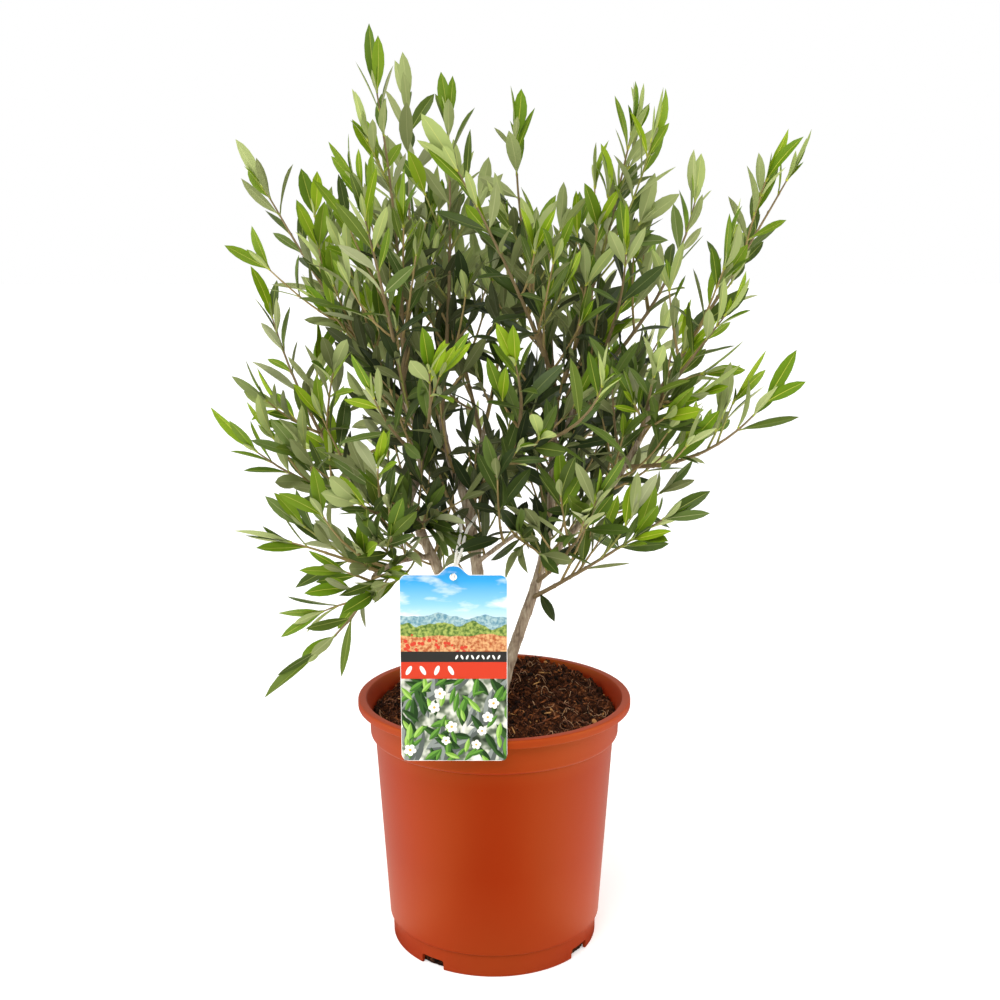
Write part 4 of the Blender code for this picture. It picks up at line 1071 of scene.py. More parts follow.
def carve_bark(bark, limbs):
    """Move the bark's points in and out along its normals, in ridges that follow each limb."""
    samples = [(point, limb.heading(i / 40), i / 40 * limb.length, number)
               for number, limb in enumerate(limbs.values())
               for i in range(41) for point in [limb.at(i / 40)]]
    centres = np.array([tuple(sample[0]) for sample in samples])
    mesh = bark.data
    count = len(mesh.vertices)
    places = np.empty(count * 3)
    mesh.vertices.foreach_get("co", places)
    places = places.reshape(-1, 3)
    normals = np.array([tuple(vertex.normal) for vertex in mesh.vertices])
    nearest = np.empty(count, int)
    for begin in range(0, count, 4000):
        block = places[begin:begin + 4000]
        gaps = ((block[:, None, :] - centres[None, :, :]) ** 2).sum(axis=2)
        nearest[begin:begin + 4000] = gaps.argmin(axis=1)
    moves = np.empty(count)
    for i in range(count):
        centre, heading, run, number = samples[nearest[i]]
        off = Vector(places[i]) - centre
        along = run + off.dot(heading)
        around = off - heading * off.dot(heading)
        spot = Vector((around.x / (1.3 * MM), around.y / (1.3 * MM), along / (11.0 * MM) + 7.0 * number))
        ridge = noise.noise(spot) + 0.5 * noise.noise(spot * 2.3)
        grain = noise.noise(Vector(places[i]) / (1.1 * MM))
        moves[i] = BARK_RIDGE * ridge + BARK_GRAIN * grain
    places += normals * moves[:, None]
    mesh.vertices.foreach_set("co", places.reshape(-1))
    mesh.update()


def bark_material():
    """Smooth young olive bark: grey-brown with paler and darker streaks along the wood."""
    made, tree, shader = new_material("olive_bark", 0.78)
    place = add_node(tree, "ShaderNodeTexCoord").outputs["Object"]
    drawn = add_node(tree, "ShaderNodeMapping", inputs={"Vector": place, "Scale": (1.0, 1.0, 0.16)})
    streaks = add_node(tree, "ShaderNodeTexNoise", inputs={
        "Vector": drawn, "Scale": 1.0 / (1.6 * MM), "Detail": 4.0, "Roughness": 0.6})
    spread = add_node(tree, "ShaderNodeMapping", inputs={"Vector": place, "Scale": (1.0, 1.0, 0.5)})
    blotches = add_node(tree, "ShaderNodeTexNoise", inputs={"Vector": spread, "Scale": 1.0 / (9.0 * MM)})
    mixed = add_node(tree, "ShaderNodeMath", {"operation": 'MULTIPLY_ADD'},
                     {0: blotches, 1: 0.45, 2: streaks})
    add_node(tree, "ShaderNodeValToRGB", {"stops": [
        (0.46, "#625040"), (0.62, "#8C7964"), (0.78, "#A99982"), (0.95, "#C0B39C")]},
             {"Fac": mixed}, shader.inputs["Base Color"])
    add_node(tree, "ShaderNodeBump", inputs={"Height": streaks, "Distance": 0.25 * MM},
             onto=shader.inputs["Normal"])
    return made


# ---------------------------------------------------------------- making by hand

def select_only(piece):
    """Make one object the only selected and the active one."""
    bpy.ops.object.select_all(action='DESELECT')
    piece.select_set(True)
    bpy.context.view_layer.objects.active = piece


def name_active(name, surface=None):
    """Name the newest object, and give it a material."""
    piece = bpy.context.object
    piece.name = name
    piece.data.name = name
    if surface is not None:
        piece.data.materials.append(surface)
    return piece


def apply_place(piece):
    """Put an object's place, turn and size into its mesh."""
    select_only(piece)
    bpy.ops.object.transform_apply(location=True, rotation=True, scale=True)


def apply_modifier(piece, name, kind, **settings):
    """Add a modifier to an object and apply it."""
    select_only(piece)
    modifier = piece.modifiers.new(name, kind)
    for setting, value in settings.items():
        setattr(modifier, setting, value)
    bpy.ops.object.modifier_apply(modifier=name)


def join_into(first, others, name):
    """Join objects into the first."""
    bpy.ops.object.select_all(action='DESELECT')
    for piece in [first] + list(others):
        piece.select_set(True)
    bpy.context.view_layer.objects.active = first
    bpy.ops.object.join()
    first.name = name
    first.data.name = name
    return first


def lathe_by_rings(name, profile, sides, surface):
    """A turned form: a circle extruded and resized through (radius, height) places."""
    bpy.ops.object.select_all(action='DESELECT')
    bpy.ops.mesh.primitive_circle_add(vertices=sides, radius=profile[0][0], fill_type='NGON',
                                      location=(0.0, 0.0, profile[0][1]))
    piece = name_active(name, surface)
    apply_place(piece)
    bpy.ops.object.mode_set(mode='EDIT')
    bpy.ops.mesh.select_all(action='SELECT')
    radius, height = profile[0]
    bpy.ops.mesh.delete(type='ONLY_FACE')
    bpy.ops.mesh.select_all(action='SELECT')
    for next_radius, next_height in profile[1:]:
        bpy.ops.mesh.extrude_region_move(
            TRANSFORM_OT_translate={"value": (0.0, 0.0, next_height - height)})
        share = next_radius / radius
        bpy.ops.transform.resize(value=(share, share, 1.0))
        radius, height = next_radius, next_height
    return piece


# ---------------------------------------------------------------- pot

def pot_material():
    """Injection-moulded polypropylene: orange-brown with a soft gloss, and painted light that makes it
    paler at the collar, the lip and towards the foot.
    """
    made, tree, shader = new_material("polypropylene", 0.48, Specular_IOR_Level=0.5,
                                      Specular_Tint=(1.0, 0.82, 0.10, 1.0))
    place = add_node(tree, "ShaderNodeTexCoord").outputs["Object"]
    drawn = add_node(tree, "ShaderNodeMapping", inputs={"Vector": place, "Scale": (1.0, 1.0, 0.35)})
    clouds = add_node(tree, "ShaderNodeTexNoise", inputs={
        "Vector": drawn, "Scale": 1.0 / (60.0 * MM), "Detail": 3.0})
    colour = add_node(tree, "ShaderNodeValToRGB", {"stops": [(0.25, "#8D0F00"), (0.75, "#941300")]},
                      {"Fac": clouds})
    height = add_node(tree, "ShaderNodeSeparateXYZ", inputs={"Vector": place}).outputs["Z"]
    # painted light: the base colour is mixed towards a paler orange at the collar, the lip and towards
    # the foot
    painted_light = 0.0
    for begins, full, share in POT_PAINTED_LIGHT:
        zone = add_node(tree, "ShaderNodeMapRange", inputs={
            "Value": height, "From Min": begins * MM, "From Max": full * MM, "To Max": share})
        painted_light = add_node(tree, "ShaderNodeMath", {"operation": 'MAXIMUM'}, {0: painted_light, 1: zone})
    add_node(tree, "ShaderNodeMix", {"data_type": 'RGBA'}, {0: painted_light, 6: colour, 7: srgb("#B04A24")},
             shader.inputs["Base Color"])
    grain = add_node(tree, "ShaderNodeTexNoise", inputs={
        "Vector": place, "Scale": 1.0 / (0.9 * MM), "Detail": 4.0})
    add_node(tree, "ShaderNodeMapRange", inputs={"Value": grain, "To Min": 0.44, "To Max": 0.52},
             onto=shader.inputs["Roughness"])
    add_node(tree, "ShaderNodeBump", inputs={"Height": grain, "Distance": 0.03 * MM},
             onto=shader.inputs["Normal"])
    return made


def arc(centre, radius, start, end, count):
    """(radius, height) places of an arc in the profile, between two angles in degrees."""
    steps = (math.radians(start + (end - start) * i / count) for i in range(count + 1))
    return [(centre[0] + radius * math.cos(a), centre[1] + radius * math.sin(a)) for a in steps]


def pot_profile():
    """Half section of the pot: its underside, up the outside, over the lip and down inside."""
    collar_foot = POT_HEIGHT - COLLAR_DEPTH
    rim_foot = POT_HEIGHT - RIM_DEPTH
    lip = 1.5 * MM
    inner_foot = FOOT_RADIUS - FOOT_RING_WIDTH
    outside = (
        arc((FOOT_RADIUS - 0.8 * MM, 0.8 * MM), 0.8 * MM, -90, 0, 3)
        + [(FOOT_TOP_RADIUS - 0.1 * MM, STEP_HEIGHT - 1.6 * MM),
           (FOOT_TOP_RADIUS, STEP_HEIGHT - 0.7 * MM),
           (BODY_FOOT_RADIUS - 1.0 * MM, STEP_HEIGHT - 0.1 * MM)]
        + arc((BODY_FOOT_RADIUS - 0.9 * MM, STEP_HEIGHT + 0.9 * MM), 0.9 * MM, -60, 0, 3)
        + [(BODY_FOOT_RADIUS + 0.15 * MM, STEP_HEIGHT + 3.5 * MM),
           (BODY_TOP_RADIUS - 0.1 * MM, collar_foot - 2.0 * MM),
           (BODY_TOP_RADIUS, collar_foot - 0.5 * MM)]
        + arc((COLLAR_RADIUS - 2.4 * MM, collar_foot + 2.4 * MM), 2.4 * MM, -75, 0, 6)
        + [(COLLAR_RADIUS + 0.05 * MM, collar_foot + 4.0 * MM),
           (COLLAR_RADIUS + 0.6 * MM, rim_foot + 0.3 * MM),
           (RIM_RADIUS - 0.9 * MM, rim_foot)]
        + arc((RIM_RADIUS - 0.6 * MM, rim_foot + 0.6 * MM), 0.6 * MM, -60, 0, 3)
        + arc((RIM_RADIUS - lip, POT_HEIGHT - lip), lip, 0, 90, 6)
        + arc((RIM_MOUTH + 1.1 * MM, POT_HEIGHT - 1.1 * MM), 1.1 * MM, 90, 180, 5))
    inside = [
        (COLLAR_RADIUS - POT_WALL + 0.5 * MM, rim_foot - 2.5 * MM),
        (COLLAR_RADIUS - POT_WALL, collar_foot + POT_WALL + 1.5 * MM),
        (COLLAR_RADIUS - POT_WALL - 1.2 * MM, collar_foot + 0.2 * MM),
        (BODY_TOP_RADIUS - POT_WALL, collar_foot - POT_WALL),
        (BODY_FOOT_RADIUS - POT_WALL, STEP_HEIGHT + 2.0 * POT_WALL),
        (FOOT_TOP_RADIUS - POT_WALL, FLOOR_TOP + 1.0 * MM),
        (FOOT_TOP_RADIUS - POT_WALL - 1.0 * MM, FLOOR_TOP),
        (0.5 * MM, FLOOR_TOP),
    ]
    underside = [
        (0.5 * MM, 0.4 * MM), (3.0 * MM, 0.0), (PAD_RADIUS - 0.5 * MM, 0.0), (PAD_RADIUS, 0.5 * MM),
        (PAD_RADIUS, FLOOR_UNDERSIDE - 0.6 * MM), (PAD_RADIUS + 0.6 * MM, FLOOR_UNDERSIDE),
        (inner_foot - 0.6 * MM, FLOOR_UNDERSIDE), (inner_foot, FLOOR_UNDERSIDE - 0.6 * MM),
        (inner_foot, 0.5 * MM), (inner_foot + 0.5 * MM, 0.0),
    ]
    return underside + outside + inside


def build_pot():
    """The pot, with rounded lip, collar ledge, foot step and four drain notches."""
    pot = lathe_by_rings("moulded_pot", pot_profile(), POT_SIDES, pot_material())
    bpy.ops.mesh.select_all(action='DESELECT')
    bpy.ops.mesh.select_mode(type='EDGE')
    bpy.ops.mesh.select_non_manifold(extend=False)
    bpy.ops.mesh.edge_face_add()
    bpy.ops.mesh.select_all(action='SELECT')
    bpy.ops.mesh.normals_make_consistent(inside=False)
    bpy.ops.object.mode_set(mode='OBJECT')
    for index in range(NOTCH_COUNT):
        angle = NOTCH_FIRST + index * math.tau / NOTCH_COUNT
        cutter = notch_cutter(angle)
        apply_modifier(pot, "Notch", 'BOOLEAN', operation='DIFFERENCE', solver='EXACT', object=cutter)
        bpy.data.objects.remove(cutter)
    select_only(pot)
    bpy.ops.object.shade_smooth_by_angle(angle=math.radians(32.0))
    return pot


def notch_cutter(angle):
    """A block with rounded upper corners that cuts one drain notch into the foot ring."""
    bpy.ops.object.select_all(action='DESELECT')
    centre = (FOOT_RADIUS * math.cos(angle), FOOT_RADIUS * math.sin(angle), 0.0)
    bpy.ops.mesh.primitive_cube_add(size=1.0, location=centre, rotation=(0.0, 0.0, angle))
    cutter = name_active("notch_cutter")
    cutter.scale = (4.0 * FOOT_RING_WIDTH, NOTCH_WIDTH, 2.0 * NOTCH_HEIGHT)
    bpy.ops.object.transform_apply(location=False, rotation=False, scale=True)
    bpy.ops.object.mode_set(mode='EDIT')
    bpy.ops.mesh.select_mode(type='EDGE')
    bpy.ops.mesh.select_all(action='DESELECT')
    bpy.ops.object.mode_set(mode='OBJECT')
    mesh = cutter.data
    for edge in mesh.edges:
        a, b = (mesh.vertices[v].co for v in edge.vertices)
        edge.select = a.z > 0 and b.z > 0 and abs(a.y - b.y) < 1e-6
    bpy.ops.object.mode_set(mode='EDIT')
    bpy.ops.mesh.bevel(offset=1.8 * MM, segments=4)
    bpy.ops.object.mode_set(mode='OBJECT')
    apply_place(cutter)
    return cutter


# ---------------------------------------------------------------- soil

def soil_height(x, y):
    """Height of the soil at a place: domed, higher behind the stems, with clods and crumbs."""
    share = min(1.0, math.hypot(x, y) / SOIL_RADIUS)
    dome = SOIL_TOP - SOIL_EDGE_DROP * max(0.0, (share - 0.3) / 0.7) ** 3.5
    heap = SOIL_RISE * max(0.0, y / RISE_REACH) ** 1.2 * min(1.0, 1.0 + 0.4 * x / SOIL_RADIUS)
    spot = Vector((x, y, 0.0))
    clods = noise.noise(spot / (17.0 * MM)) * 2.8 * MM + noise.noise(spot / (8.0 * MM)) * 5.6 * MM
    crumbs = noise.noise(spot / (3.2 * MM)) * 3.2 * MM
    return dome + heap - 1.0 * MM + clods + crumbs


def soil_material():
    """Moist peat: near-black brown with rusty and ochre crumbs, dull all over."""
    made, tree, shader = new_material("moist_peat", 0.9, Specular_IOR_Level=0.06)
    place = add_node(tree, "ShaderNodeTexCoord").outputs["Object"]
    crumbs = add_node(tree, "ShaderNodeTexNoise", inputs={
        "Vector": place, "Scale": 1.0 / (2.2 * MM), "Detail": 5.0, "Roughness": 0.65})
    patches = add_node(tree, "ShaderNodeTexNoise", inputs={"Vector": place, "Scale": 1.0 / (14.0 * MM)})
    mixed = add_node(tree, "ShaderNodeMath", {"operation": 'MULTIPLY_ADD'},
                     {0: patches, 1: 0.4, 2: crumbs})
    add_node(tree, "ShaderNodeValToRGB", {"stops": [
        (0.50, "#0C0502"), (0.64, "#27140B"), (0.79, "#5A321D"), (0.93, "#98623C")]},
             {"Fac": mixed}, shader.inputs["Base Color"])
    add_node(tree, "ShaderNodeBump", inputs={"Height": crumbs, "Distance": 1.2 * MM},
             onto=shader.inputs["Normal"])
    return made


def build_soil():
    """The top of the soil, as a closed plug with an uneven surface."""
    bpy.ops.object.select_all(action='DESELECT')
    bpy.ops.mesh.primitive_grid_add(x_subdivisions=SOIL_CELLS, y_subdivisions=SOIL_CELLS,
                                    size=2.02 * SOIL_RADIUS, location=(0.0, 0.0, SOIL_TOP))
    soil = name_active("potting_soil", soil_material())
    apply_place(soil)
    mesh = soil.data
    for vertex in mesh.vertices:
        vertex.select = math.hypot(vertex.co.x, vertex.co.y) > SOIL_RADIUS
    for edge in mesh.edges:
        edge.select = False
    for face in mesh.polygons:
        face.select = False
    bpy.ops.object.mode_set(mode='EDIT')
    bpy.ops.mesh.select_mode(type='VERT')
    bpy.ops.mesh.delete(type='VERT')
    bpy.ops.mesh.select_non_manifold(extend=False)
    bpy.ops.mesh.extrude_region_move(TRANSFORM_OT_translate={"value": (0.0, 0.0, -SOIL_DEPTH)})
    bpy.ops.transform.resize(value=(0.93, 0.93, 1.0))
    bpy.ops.mesh.edge_face_add()
    bpy.ops.mesh.select_all(action='SELECT')
    bpy.ops.mesh.normals_make_consistent(inside=False)
    bpy.ops.object.mode_set(mode='OBJECT')
    for vertex in mesh.vertices:
        if vertex.co.z > SOIL_TOP - 0.5 * SOIL_DEPTH:
            vertex.co.z = soil_height(vertex.co.x, vertex.co.y)
    mesh.shade_smooth()
    return soil


def spot_on_soil(rng):
    """An even random place on the soil, and its height."""
    radius = (SOIL_RADIUS - 2.0 * MM) * math.sqrt(rng.uniform(0.0, 1.0))
    angle = rng.uniform(0.0, math.tau)
    x, y = radius * math.cos(angle), radius * math.sin(angle)
    return Vector((x, y, soil_height(x, y)))


def crumb_shape():
    """Corners and faces of one crumb: a coarse ball."""
    bpy.ops.object.select_all(action='DESELECT')
    bpy.ops.mesh.primitive_ico_sphere_add(subdivisions=1, radius=1.0)
    ball = name_active("crumb_pattern")
    corners = [vertex.co.copy() for vertex in ball.data.vertices]
    faces = [tuple(face.vertices) for face in ball.data.polygons]
    bpy.data.objects.remove(ball)
    return corners, faces


def plain_materials(name, codes, roughness):
    """Plain materials of one kind in several colours."""
    return [new_material("%s_%d" % (name, i), roughness, Base_Color=srgb(code),
                         Specular_IOR_Level=0.15)[0] for i, code in enumerate(codes)]


def build_crumbs():
    """Loose crumbs of peat and bark that lie on the soil, and a few behind the drain notches."""
    rng = random.Random("crumbs")
    corners, faces = crumb_shape()
    shapes = Shapes()
    spots = [spot_on_soil(rng) for _ in range(CRUMB_COUNT)]
    for index in range(NOTCH_COUNT):
        angle = NOTCH_FIRST + index * math.tau / NOTCH_COUNT
        for _ in range(NOTCH_CRUMBS):
            turn = angle + rng.uniform(-0.11, 0.11)
            radius = rng.uniform(0.90, 0.945) * FOOT_RADIUS
            height = rng.uniform(4.2, 7.6) * MM
            spots.append(Vector((radius * math.cos(turn), radius * math.sin(turn), height)))
    for spot in spots:
        size = rng.uniform(0.5, 1.3) * MM * (2.0 if rng.random() < 0.07 else 1.0)
        turn = Matrix.Rotation(rng.uniform(0.0, math.tau), 3,
                               Vector((rng.gauss(0, 1), rng.gauss(0, 1), 1.0)))
        stretch = Vector((rng.uniform(0.7, 1.7), rng.uniform(0.7, 1.2), rng.uniform(0.5, 0.9)))
        shape = [spot + turn @ Vector(corner * stretch * rng.uniform(0.75, 1.2)) * size
                 for corner in corners]
        shapes.add(shape, faces, rng.choices(range(5), weights=(8, 6, 4, 2, 1)) * len(faces))
    codes = ("#140A05", "#2E180C", "#4E2A18", "#844E2A", "#B88450")
    return shapes.build("soil_crumbs", plain_materials("peat_crumb", codes, 0.92), smooth=False)


def build_washed_soil():
    """A low bank of soil behind each drain notch."""
    rng = random.Random("washed soil")
    shapes = Shapes()
    half = 0.5 * NOTCH_WIDTH + 8.0 * MM
    for index in range(NOTCH_COUNT):
        middle = NOTCH_FIRST + index * math.tau / NOTCH_COUNT
        rings = []
        for step in range(31):
            angle = middle + (step / 15 - 1.0) * half / FOOT_RADIUS
            out = Vector((math.cos(angle), math.sin(angle), 0.0))
            corners = []
            for reach, height in BANK_SECTION:
                rough = rng.uniform(-0.8, 0.2) * MM
                corners.append(out * (reach * MM + rough) + UP * height * MM)
            rings.append(corners)
        shapes.add_tube(rings)
    return shapes.build("washed_soil", [soil_material()])


def build_chips():
    """Flat splinters of bark and wood on the soil."""
    rng = random.Random("chips")
    shapes = Shapes()
    for _ in range(CHIP_COUNT):
        spot = spot_on_soil(rng) + UP * rng.uniform(-0.2, 0.7) * MM
        length = rng.uniform(2.5, 11.0) * MM
        width = rng.uniform(0.4, 1.7) * MM
        thick = rng.uniform(0.25, 0.6) * MM
        along = Vector((rng.gauss(0, 1), rng.gauss(0, 1), rng.gauss(0, 0.3))).normalized()
        side = along.cross(UP).normalized()
        side = (side + UP * rng.gauss(0, 0.4)).normalized()
        high = side.cross(along).normalized()
        rings = []
        for share, wide in ((-0.5, 0.35), (-0.25, 1.0), (0.2, 0.85), (0.5, 0.2)):
            middle = spot + along * (share * length) + high * rng.uniform(-0.15, 0.15) * MM
            rings.append([middle + side * (0.5 * wide * width * a) + high * (0.5 * thick * b)
                          for a, b in ((-1, 1), (1, 1), (1, -1), (-1, -1))])
        shapes.add_tube(rings, rng.choices(range(4), weights=(5, 4, 3, 1))[0])
    surfaces = plain_materials("bark_chip", ("#3E2012", "#6E3C20", "#9A5C34", "#C8965C"), 0.8)
    return shapes.build("soil_chips", surfaces, smooth=False)


def build_fibres():
    """Fine dry roots that curl over the soil."""
    rng = random.Random("fibres")
    shapes = Shapes()
    for _ in range(FIBRE_COUNT):
        spot = spot_on_soil(rng)
        angle = rng.uniform(0.0, math.tau)
        bend = rng.gauss(0.0, 0.30)
        thick = rng.uniform(0.16, 0.44) * MM
        step = rng.uniform(1.2, 2.8) * MM
        path = []
        for i in range(rng.randrange(8, 20)):
            if math.hypot(spot.x, spot.y) > SOIL_RADIUS - 1.0 * MM:
                break
            hump = max(0.0, 1.5 * MM * math.sin(0.6 * i + 7.0 * bend))
            path.append(Vector((spot.x, spot.y, soil_height(spot.x, spot.y) + 0.35 * MM + hump)))
            angle += bend + rng.gauss(0.0, 0.22)
            spot = spot + Vector((math.cos(angle), math.sin(angle), 0.0)) * step
        if len(path) < 4:
            continue
        rings = []
        for i, point in enumerate(path):
            heading = (path[min(i + 1, len(path) - 1)] - path[max(i - 1, 0)]).normalized()
            taper = 1.0 - 0.6 * i / len(path)
            rings.append(ring(point, heading, thick * taper, 4, UP))
        shapes.add_tube(rings, rng.choices(range(4), weights=(5, 4, 2, 1))[0])
    surfaces = plain_materials("dry_root", ("#28130B", "#54301F", "#8A5E48", "#B89270"), 0.85)
    return shapes.build("soil_fibres", surfaces)


# ---------------------------------------------------------------- label

def corner_arc(centre, radius, start, count=8):
    """Points of a quarter circle, anticlockwise from the start angle."""
    angles = (start + i * 0.5 * math.pi / count for i in range(count + 1))
    return [(centre[0] + radius * math.cos(a), centre[1] + radius * math.sin(a)) for a in angles]


def label_outline(margin):
    """Outline of the card about the middle of its lower edge, drawn in by a margin."""
    corner = LABEL_CORNER - margin
    half = 0.5 * LABEL_WIDTH - margin
    side = half - corner
    low = margin + corner
    top = LABEL_HEIGHT - margin - corner
    tab_half = 0.5 * LABEL_TAB_WIDTH - 0.5 * margin
    count = 20
    tab = []
    for i in range(count + 1):
        place = 1.0 - 2.0 * i / count
        rise = 0.5 * (1.0 + math.cos(math.pi * abs(place) ** 1.4))
        tab.append((place * tab_half, LABEL_HEIGHT - margin + LABEL_TAB_HEIGHT * rise))
    return (corner_arc((-side, low), corner, math.pi)
            + corner_arc((side, low), corner, -0.5 * math.pi)
            + corner_arc((side, top), corner, 0.0)
            + tab
            + corner_arc((-side, top), corner, 0.5 * math.pi))


def label_hole():
    """Centre of the label's hole."""
    return LABEL_MIDDLE + Vector((0.0, 0.0, LABEL_HEIGHT - LABEL_HOLE_DROP))


def plate(name, outline, front, thickness, surface):
    """A flat plate that faces -Y, from an outline in X and Z, with its front at a given Y."""
    mesh = bpy.data.meshes.new(name)
    mesh.from_pydata([(x, front, z) for x, z in outline], [], [tuple(range(len(outline)))])
    mesh.materials.append(surface)
    made = new_object(name, mesh)
    made.location = (LABEL_MIDDLE.x, 0.0, LABEL_MIDDLE.z)
    apply_modifier(made, "Thickness", 'SOLIDIFY', thickness=thickness, offset=-1.0)
    apply_place(made)
    return made


def punch_hole(piece):
    """Punch the string's hole through a plate."""
    bpy.ops.object.select_all(action='DESELECT')
    bpy.ops.mesh.primitive_cylinder_add(vertices=40, radius=LABEL_HOLE_RADIUS, depth=6.0 * MM,
                                        location=label_hole(), rotation=(0.5 * math.pi, 0.0, 0.0))
    punch = name_active("hole_punch")
    apply_place(punch)
    apply_modifier(piece, "Hole", 'BOOLEAN', operation='DIFFERENCE', solver='EXACT', object=punch)
    bpy.data.objects.remove(punch)


def print_material():
    """Glossy offset print: a landscape over a grey and a red band, and the sprigs' ground below."""
    made, tree, shader = new_material("offset_print", 0.28, Coat_Weight=0.3, Coat_Roughness=0.12)
    place = add_node(tree, "ShaderNodeMapping", inputs={
        "Vector": add_node(tree, "ShaderNodeTexCoord").outputs["Object"],
        "Location": -LABEL_MIDDLE / MM, "Scale": (1.0 / MM, 1.0 / MM, 1.0 / MM)})
    axes = add_node(tree, "ShaderNodeSeparateXYZ", inputs={"Vector": place})
    high = axes.outputs["Z"]
    landscape = landscape_colour(tree, place, axes)
    colour = sprig_ground(tree, place)
    for level, upper in ((LABEL_RED_FROM, srgb(PRINT_RED)), (LABEL_GREY_FROM, srgb(PRINT_GREY)),
                         (LABEL_SCENE_FROM, landscape)):
        mask = add_node(tree, "ShaderNodeMath", {"operation": 'GREATER_THAN'}, {0: high, 1: level})
        colour = add_node(tree, "ShaderNodeMix", {"data_type": 'RGBA'}, {0: mask, 6: colour, 7: upper})
    tree.links.new(result_of(colour), shader.inputs["Base Color"])
    return made


def landscape_colour(tree, place, axes):
    """A sky with thin clouds over hills and a field with red flowers. Places are in mm."""
    high = axes.outputs["Z"]
    height = add_node(tree, "ShaderNodeMapRange", inputs={
        "Value": high, "From Min": 98.0, "From Max": 139.0})
    sky = add_node(tree, "ShaderNodeValToRGB", {"stops": [
        (0.0, "#DDEFF6"), (0.35, "#8CCBEA"), (0.75, "#2FA3E2"), (1.0, "#1489D2")]}, {"Fac": height})
    drawn = add_node(tree, "ShaderNodeMapping", inputs={"Vector": place, "Scale": (0.035, 0.035, 0.11)})
    cloud = add_node(tree, "ShaderNodeTexNoise", inputs={"Vector": drawn, "Scale": 1.0, "Detail": 5.0})
    veil = add_node(tree, "ShaderNodeMapRange", inputs={
        "Value": cloud, "From Min": 0.52, "From Max": 0.72})
    colour = add_node(tree, "ShaderNodeMix", {"data_type": 'RGBA'},
                      {0: veil, 6: sky, 7: srgb("#F7FAFB")})
    ground = add_node(tree, "ShaderNodeTexNoise", inputs={"Vector": place, "Scale": 0.45, "Detail": 6.0})
    for crest, swell, length, dark, pale in PRINT_HILLS:
        line = add_node(tree, "ShaderNodeMapping", inputs={
            "Vector": place, "Scale": (1.0 / length, 0.0, 0.0), "Location": (crest, 0.0, 0.0)})
        roll = add_node(tree, "ShaderNodeTexNoise", inputs={"Vector": line, "Scale": 1.0, "Detail": 2.5})
        top = add_node(tree, "ShaderNodeMath", {"operation": 'MULTIPLY_ADD'},
                       {0: roll, 1: 2.0 * swell, 2: crest - swell})
        mask = add_node(tree, "ShaderNodeMath", {"operation": 'LESS_THAN'}, {0: high, 1: top})
        land = add_node(tree, "ShaderNodeValToRGB", {"stops": [(0.38, dark), (0.62, pale)]},
                        {"Fac": ground})
        colour = add_node(tree, "ShaderNodeMix", {"data_type": 'RGBA'}, {0: mask, 6: colour, 7: land})
    flowers = add_node(tree, "ShaderNodeTexVoronoi", inputs={"Vector": place, "Scale": 0.26})
    petals = add_node(tree, "ShaderNodeMath", {"operation": 'LESS_THAN'}, {0: flowers, 1: 0.36})
    slope = add_node(tree, "ShaderNodeMath", {"operation": 'MULTIPLY_ADD'},
                     {0: axes.outputs["X"], 1: -0.22, 2: 85.0})
    near = add_node(tree, "ShaderNodeMath", {"operation": 'LESS_THAN'}, {0: high, 1: slope})
    both = add_node(tree, "ShaderNodeMath", {"operation": 'MULTIPLY'}, {0: petals, 1: near})
    return add_node(tree, "ShaderNodeMix", {"data_type": 'RGBA'},
                    {0: both, 6: colour, 7: srgb("#D2402A")})


def sprig_ground(tree, place):
    """The blurred ground behind the printed leaves. Places are in mm."""
    ground = add_node(tree, "ShaderNodeTexNoise", inputs={"Vector": place, "Scale": 0.10, "Detail": 2.0})
    return add_node(tree, "ShaderNodeValToRGB", {"stops": [
        (0.35, "#2F3A2A"), (0.47, "#6F7C66"), (0.56, "#C9CDBD"), (0.68, "#ECEDE4")]},
                    {"Fac": ground})


def trimmed(outline):
    """The part of an outline that lies inside the label's lower field. Places are in mm."""
    half = 0.5 * LABEL_WIDTH / MM - 0.4
    corner = 0.293 * LABEL_CORNER / MM
    slope = math.sqrt(0.5)
    borders = [(1.0, 0.0, half), (-1.0, 0.0, half), (0.0, -1.0, -0.4), (0.0, 1.0, LABEL_RED_FROM),
               (slope, -slope, slope * (half - 0.4) - corner * slope),
               (-slope, -slope, slope * (half - 0.4) - corner * slope)]
    for across, up, limit in borders:
        kept = []
        for index, (x, z) in enumerate(outline):
            before = outline[index - 1]
            here = across * x + up * z - limit
            there = across * before[0] + up * before[1] - limit
            if (here > 0.0) != (there > 0.0):
                share = there / (there - here)
                kept.append((before[0] + (x - before[0]) * share, before[1] + (z - before[1]) * share))
            if here <= 0.0:
                kept.append((x, z))
        outline = kept
        if len(outline) < 3:
            return []
    return outline


def printed_leaf(middle, angle, length, slender):
    """Outlines, in mm, of a whole printed leaf and of its lighter half."""
    along = (math.cos(angle), math.sin(angle))
    edges = []
    for side in (1.0, -1.0):
        edge = []
        for step in range(9):
            share = step / 8
            off = side * 0.5 * slender * length * math.sin(math.pi * share ** 0.9) ** 0.9
            far = (share - 0.5) * length
            edge.append((middle[0] + along[0] * far - along[1] * off,
                         middle[1] + along[1] * far + along[0] * off))
        edges.append(edge)
    ends = [edges[0][0], edges[0][-1]]
    return edges[1] + edges[0][-2:0:-1], ends + edges[0][-2:0:-1]


def blossom_outlines(middle, size, turn):
    """Outlines, in mm, of five round petals and of the eye between them."""
    rounds = []
    for petal in range(5):
        angle = turn + petal * math.tau / 5
        centre = (middle[0] + 0.62 * size * math.cos(angle), middle[1] + 0.62 * size * math.sin(angle))
        rounds.append((centre, 0.42 * size))
    rounds.append((middle, 0.22 * size))
    angles = [i * math.tau / 14 for i in range(14)]
    return [[(centre[0] + radius * math.cos(angle), centre[1] + radius * math.sin(angle))
             for angle in angles] for centre, radius in rounds]


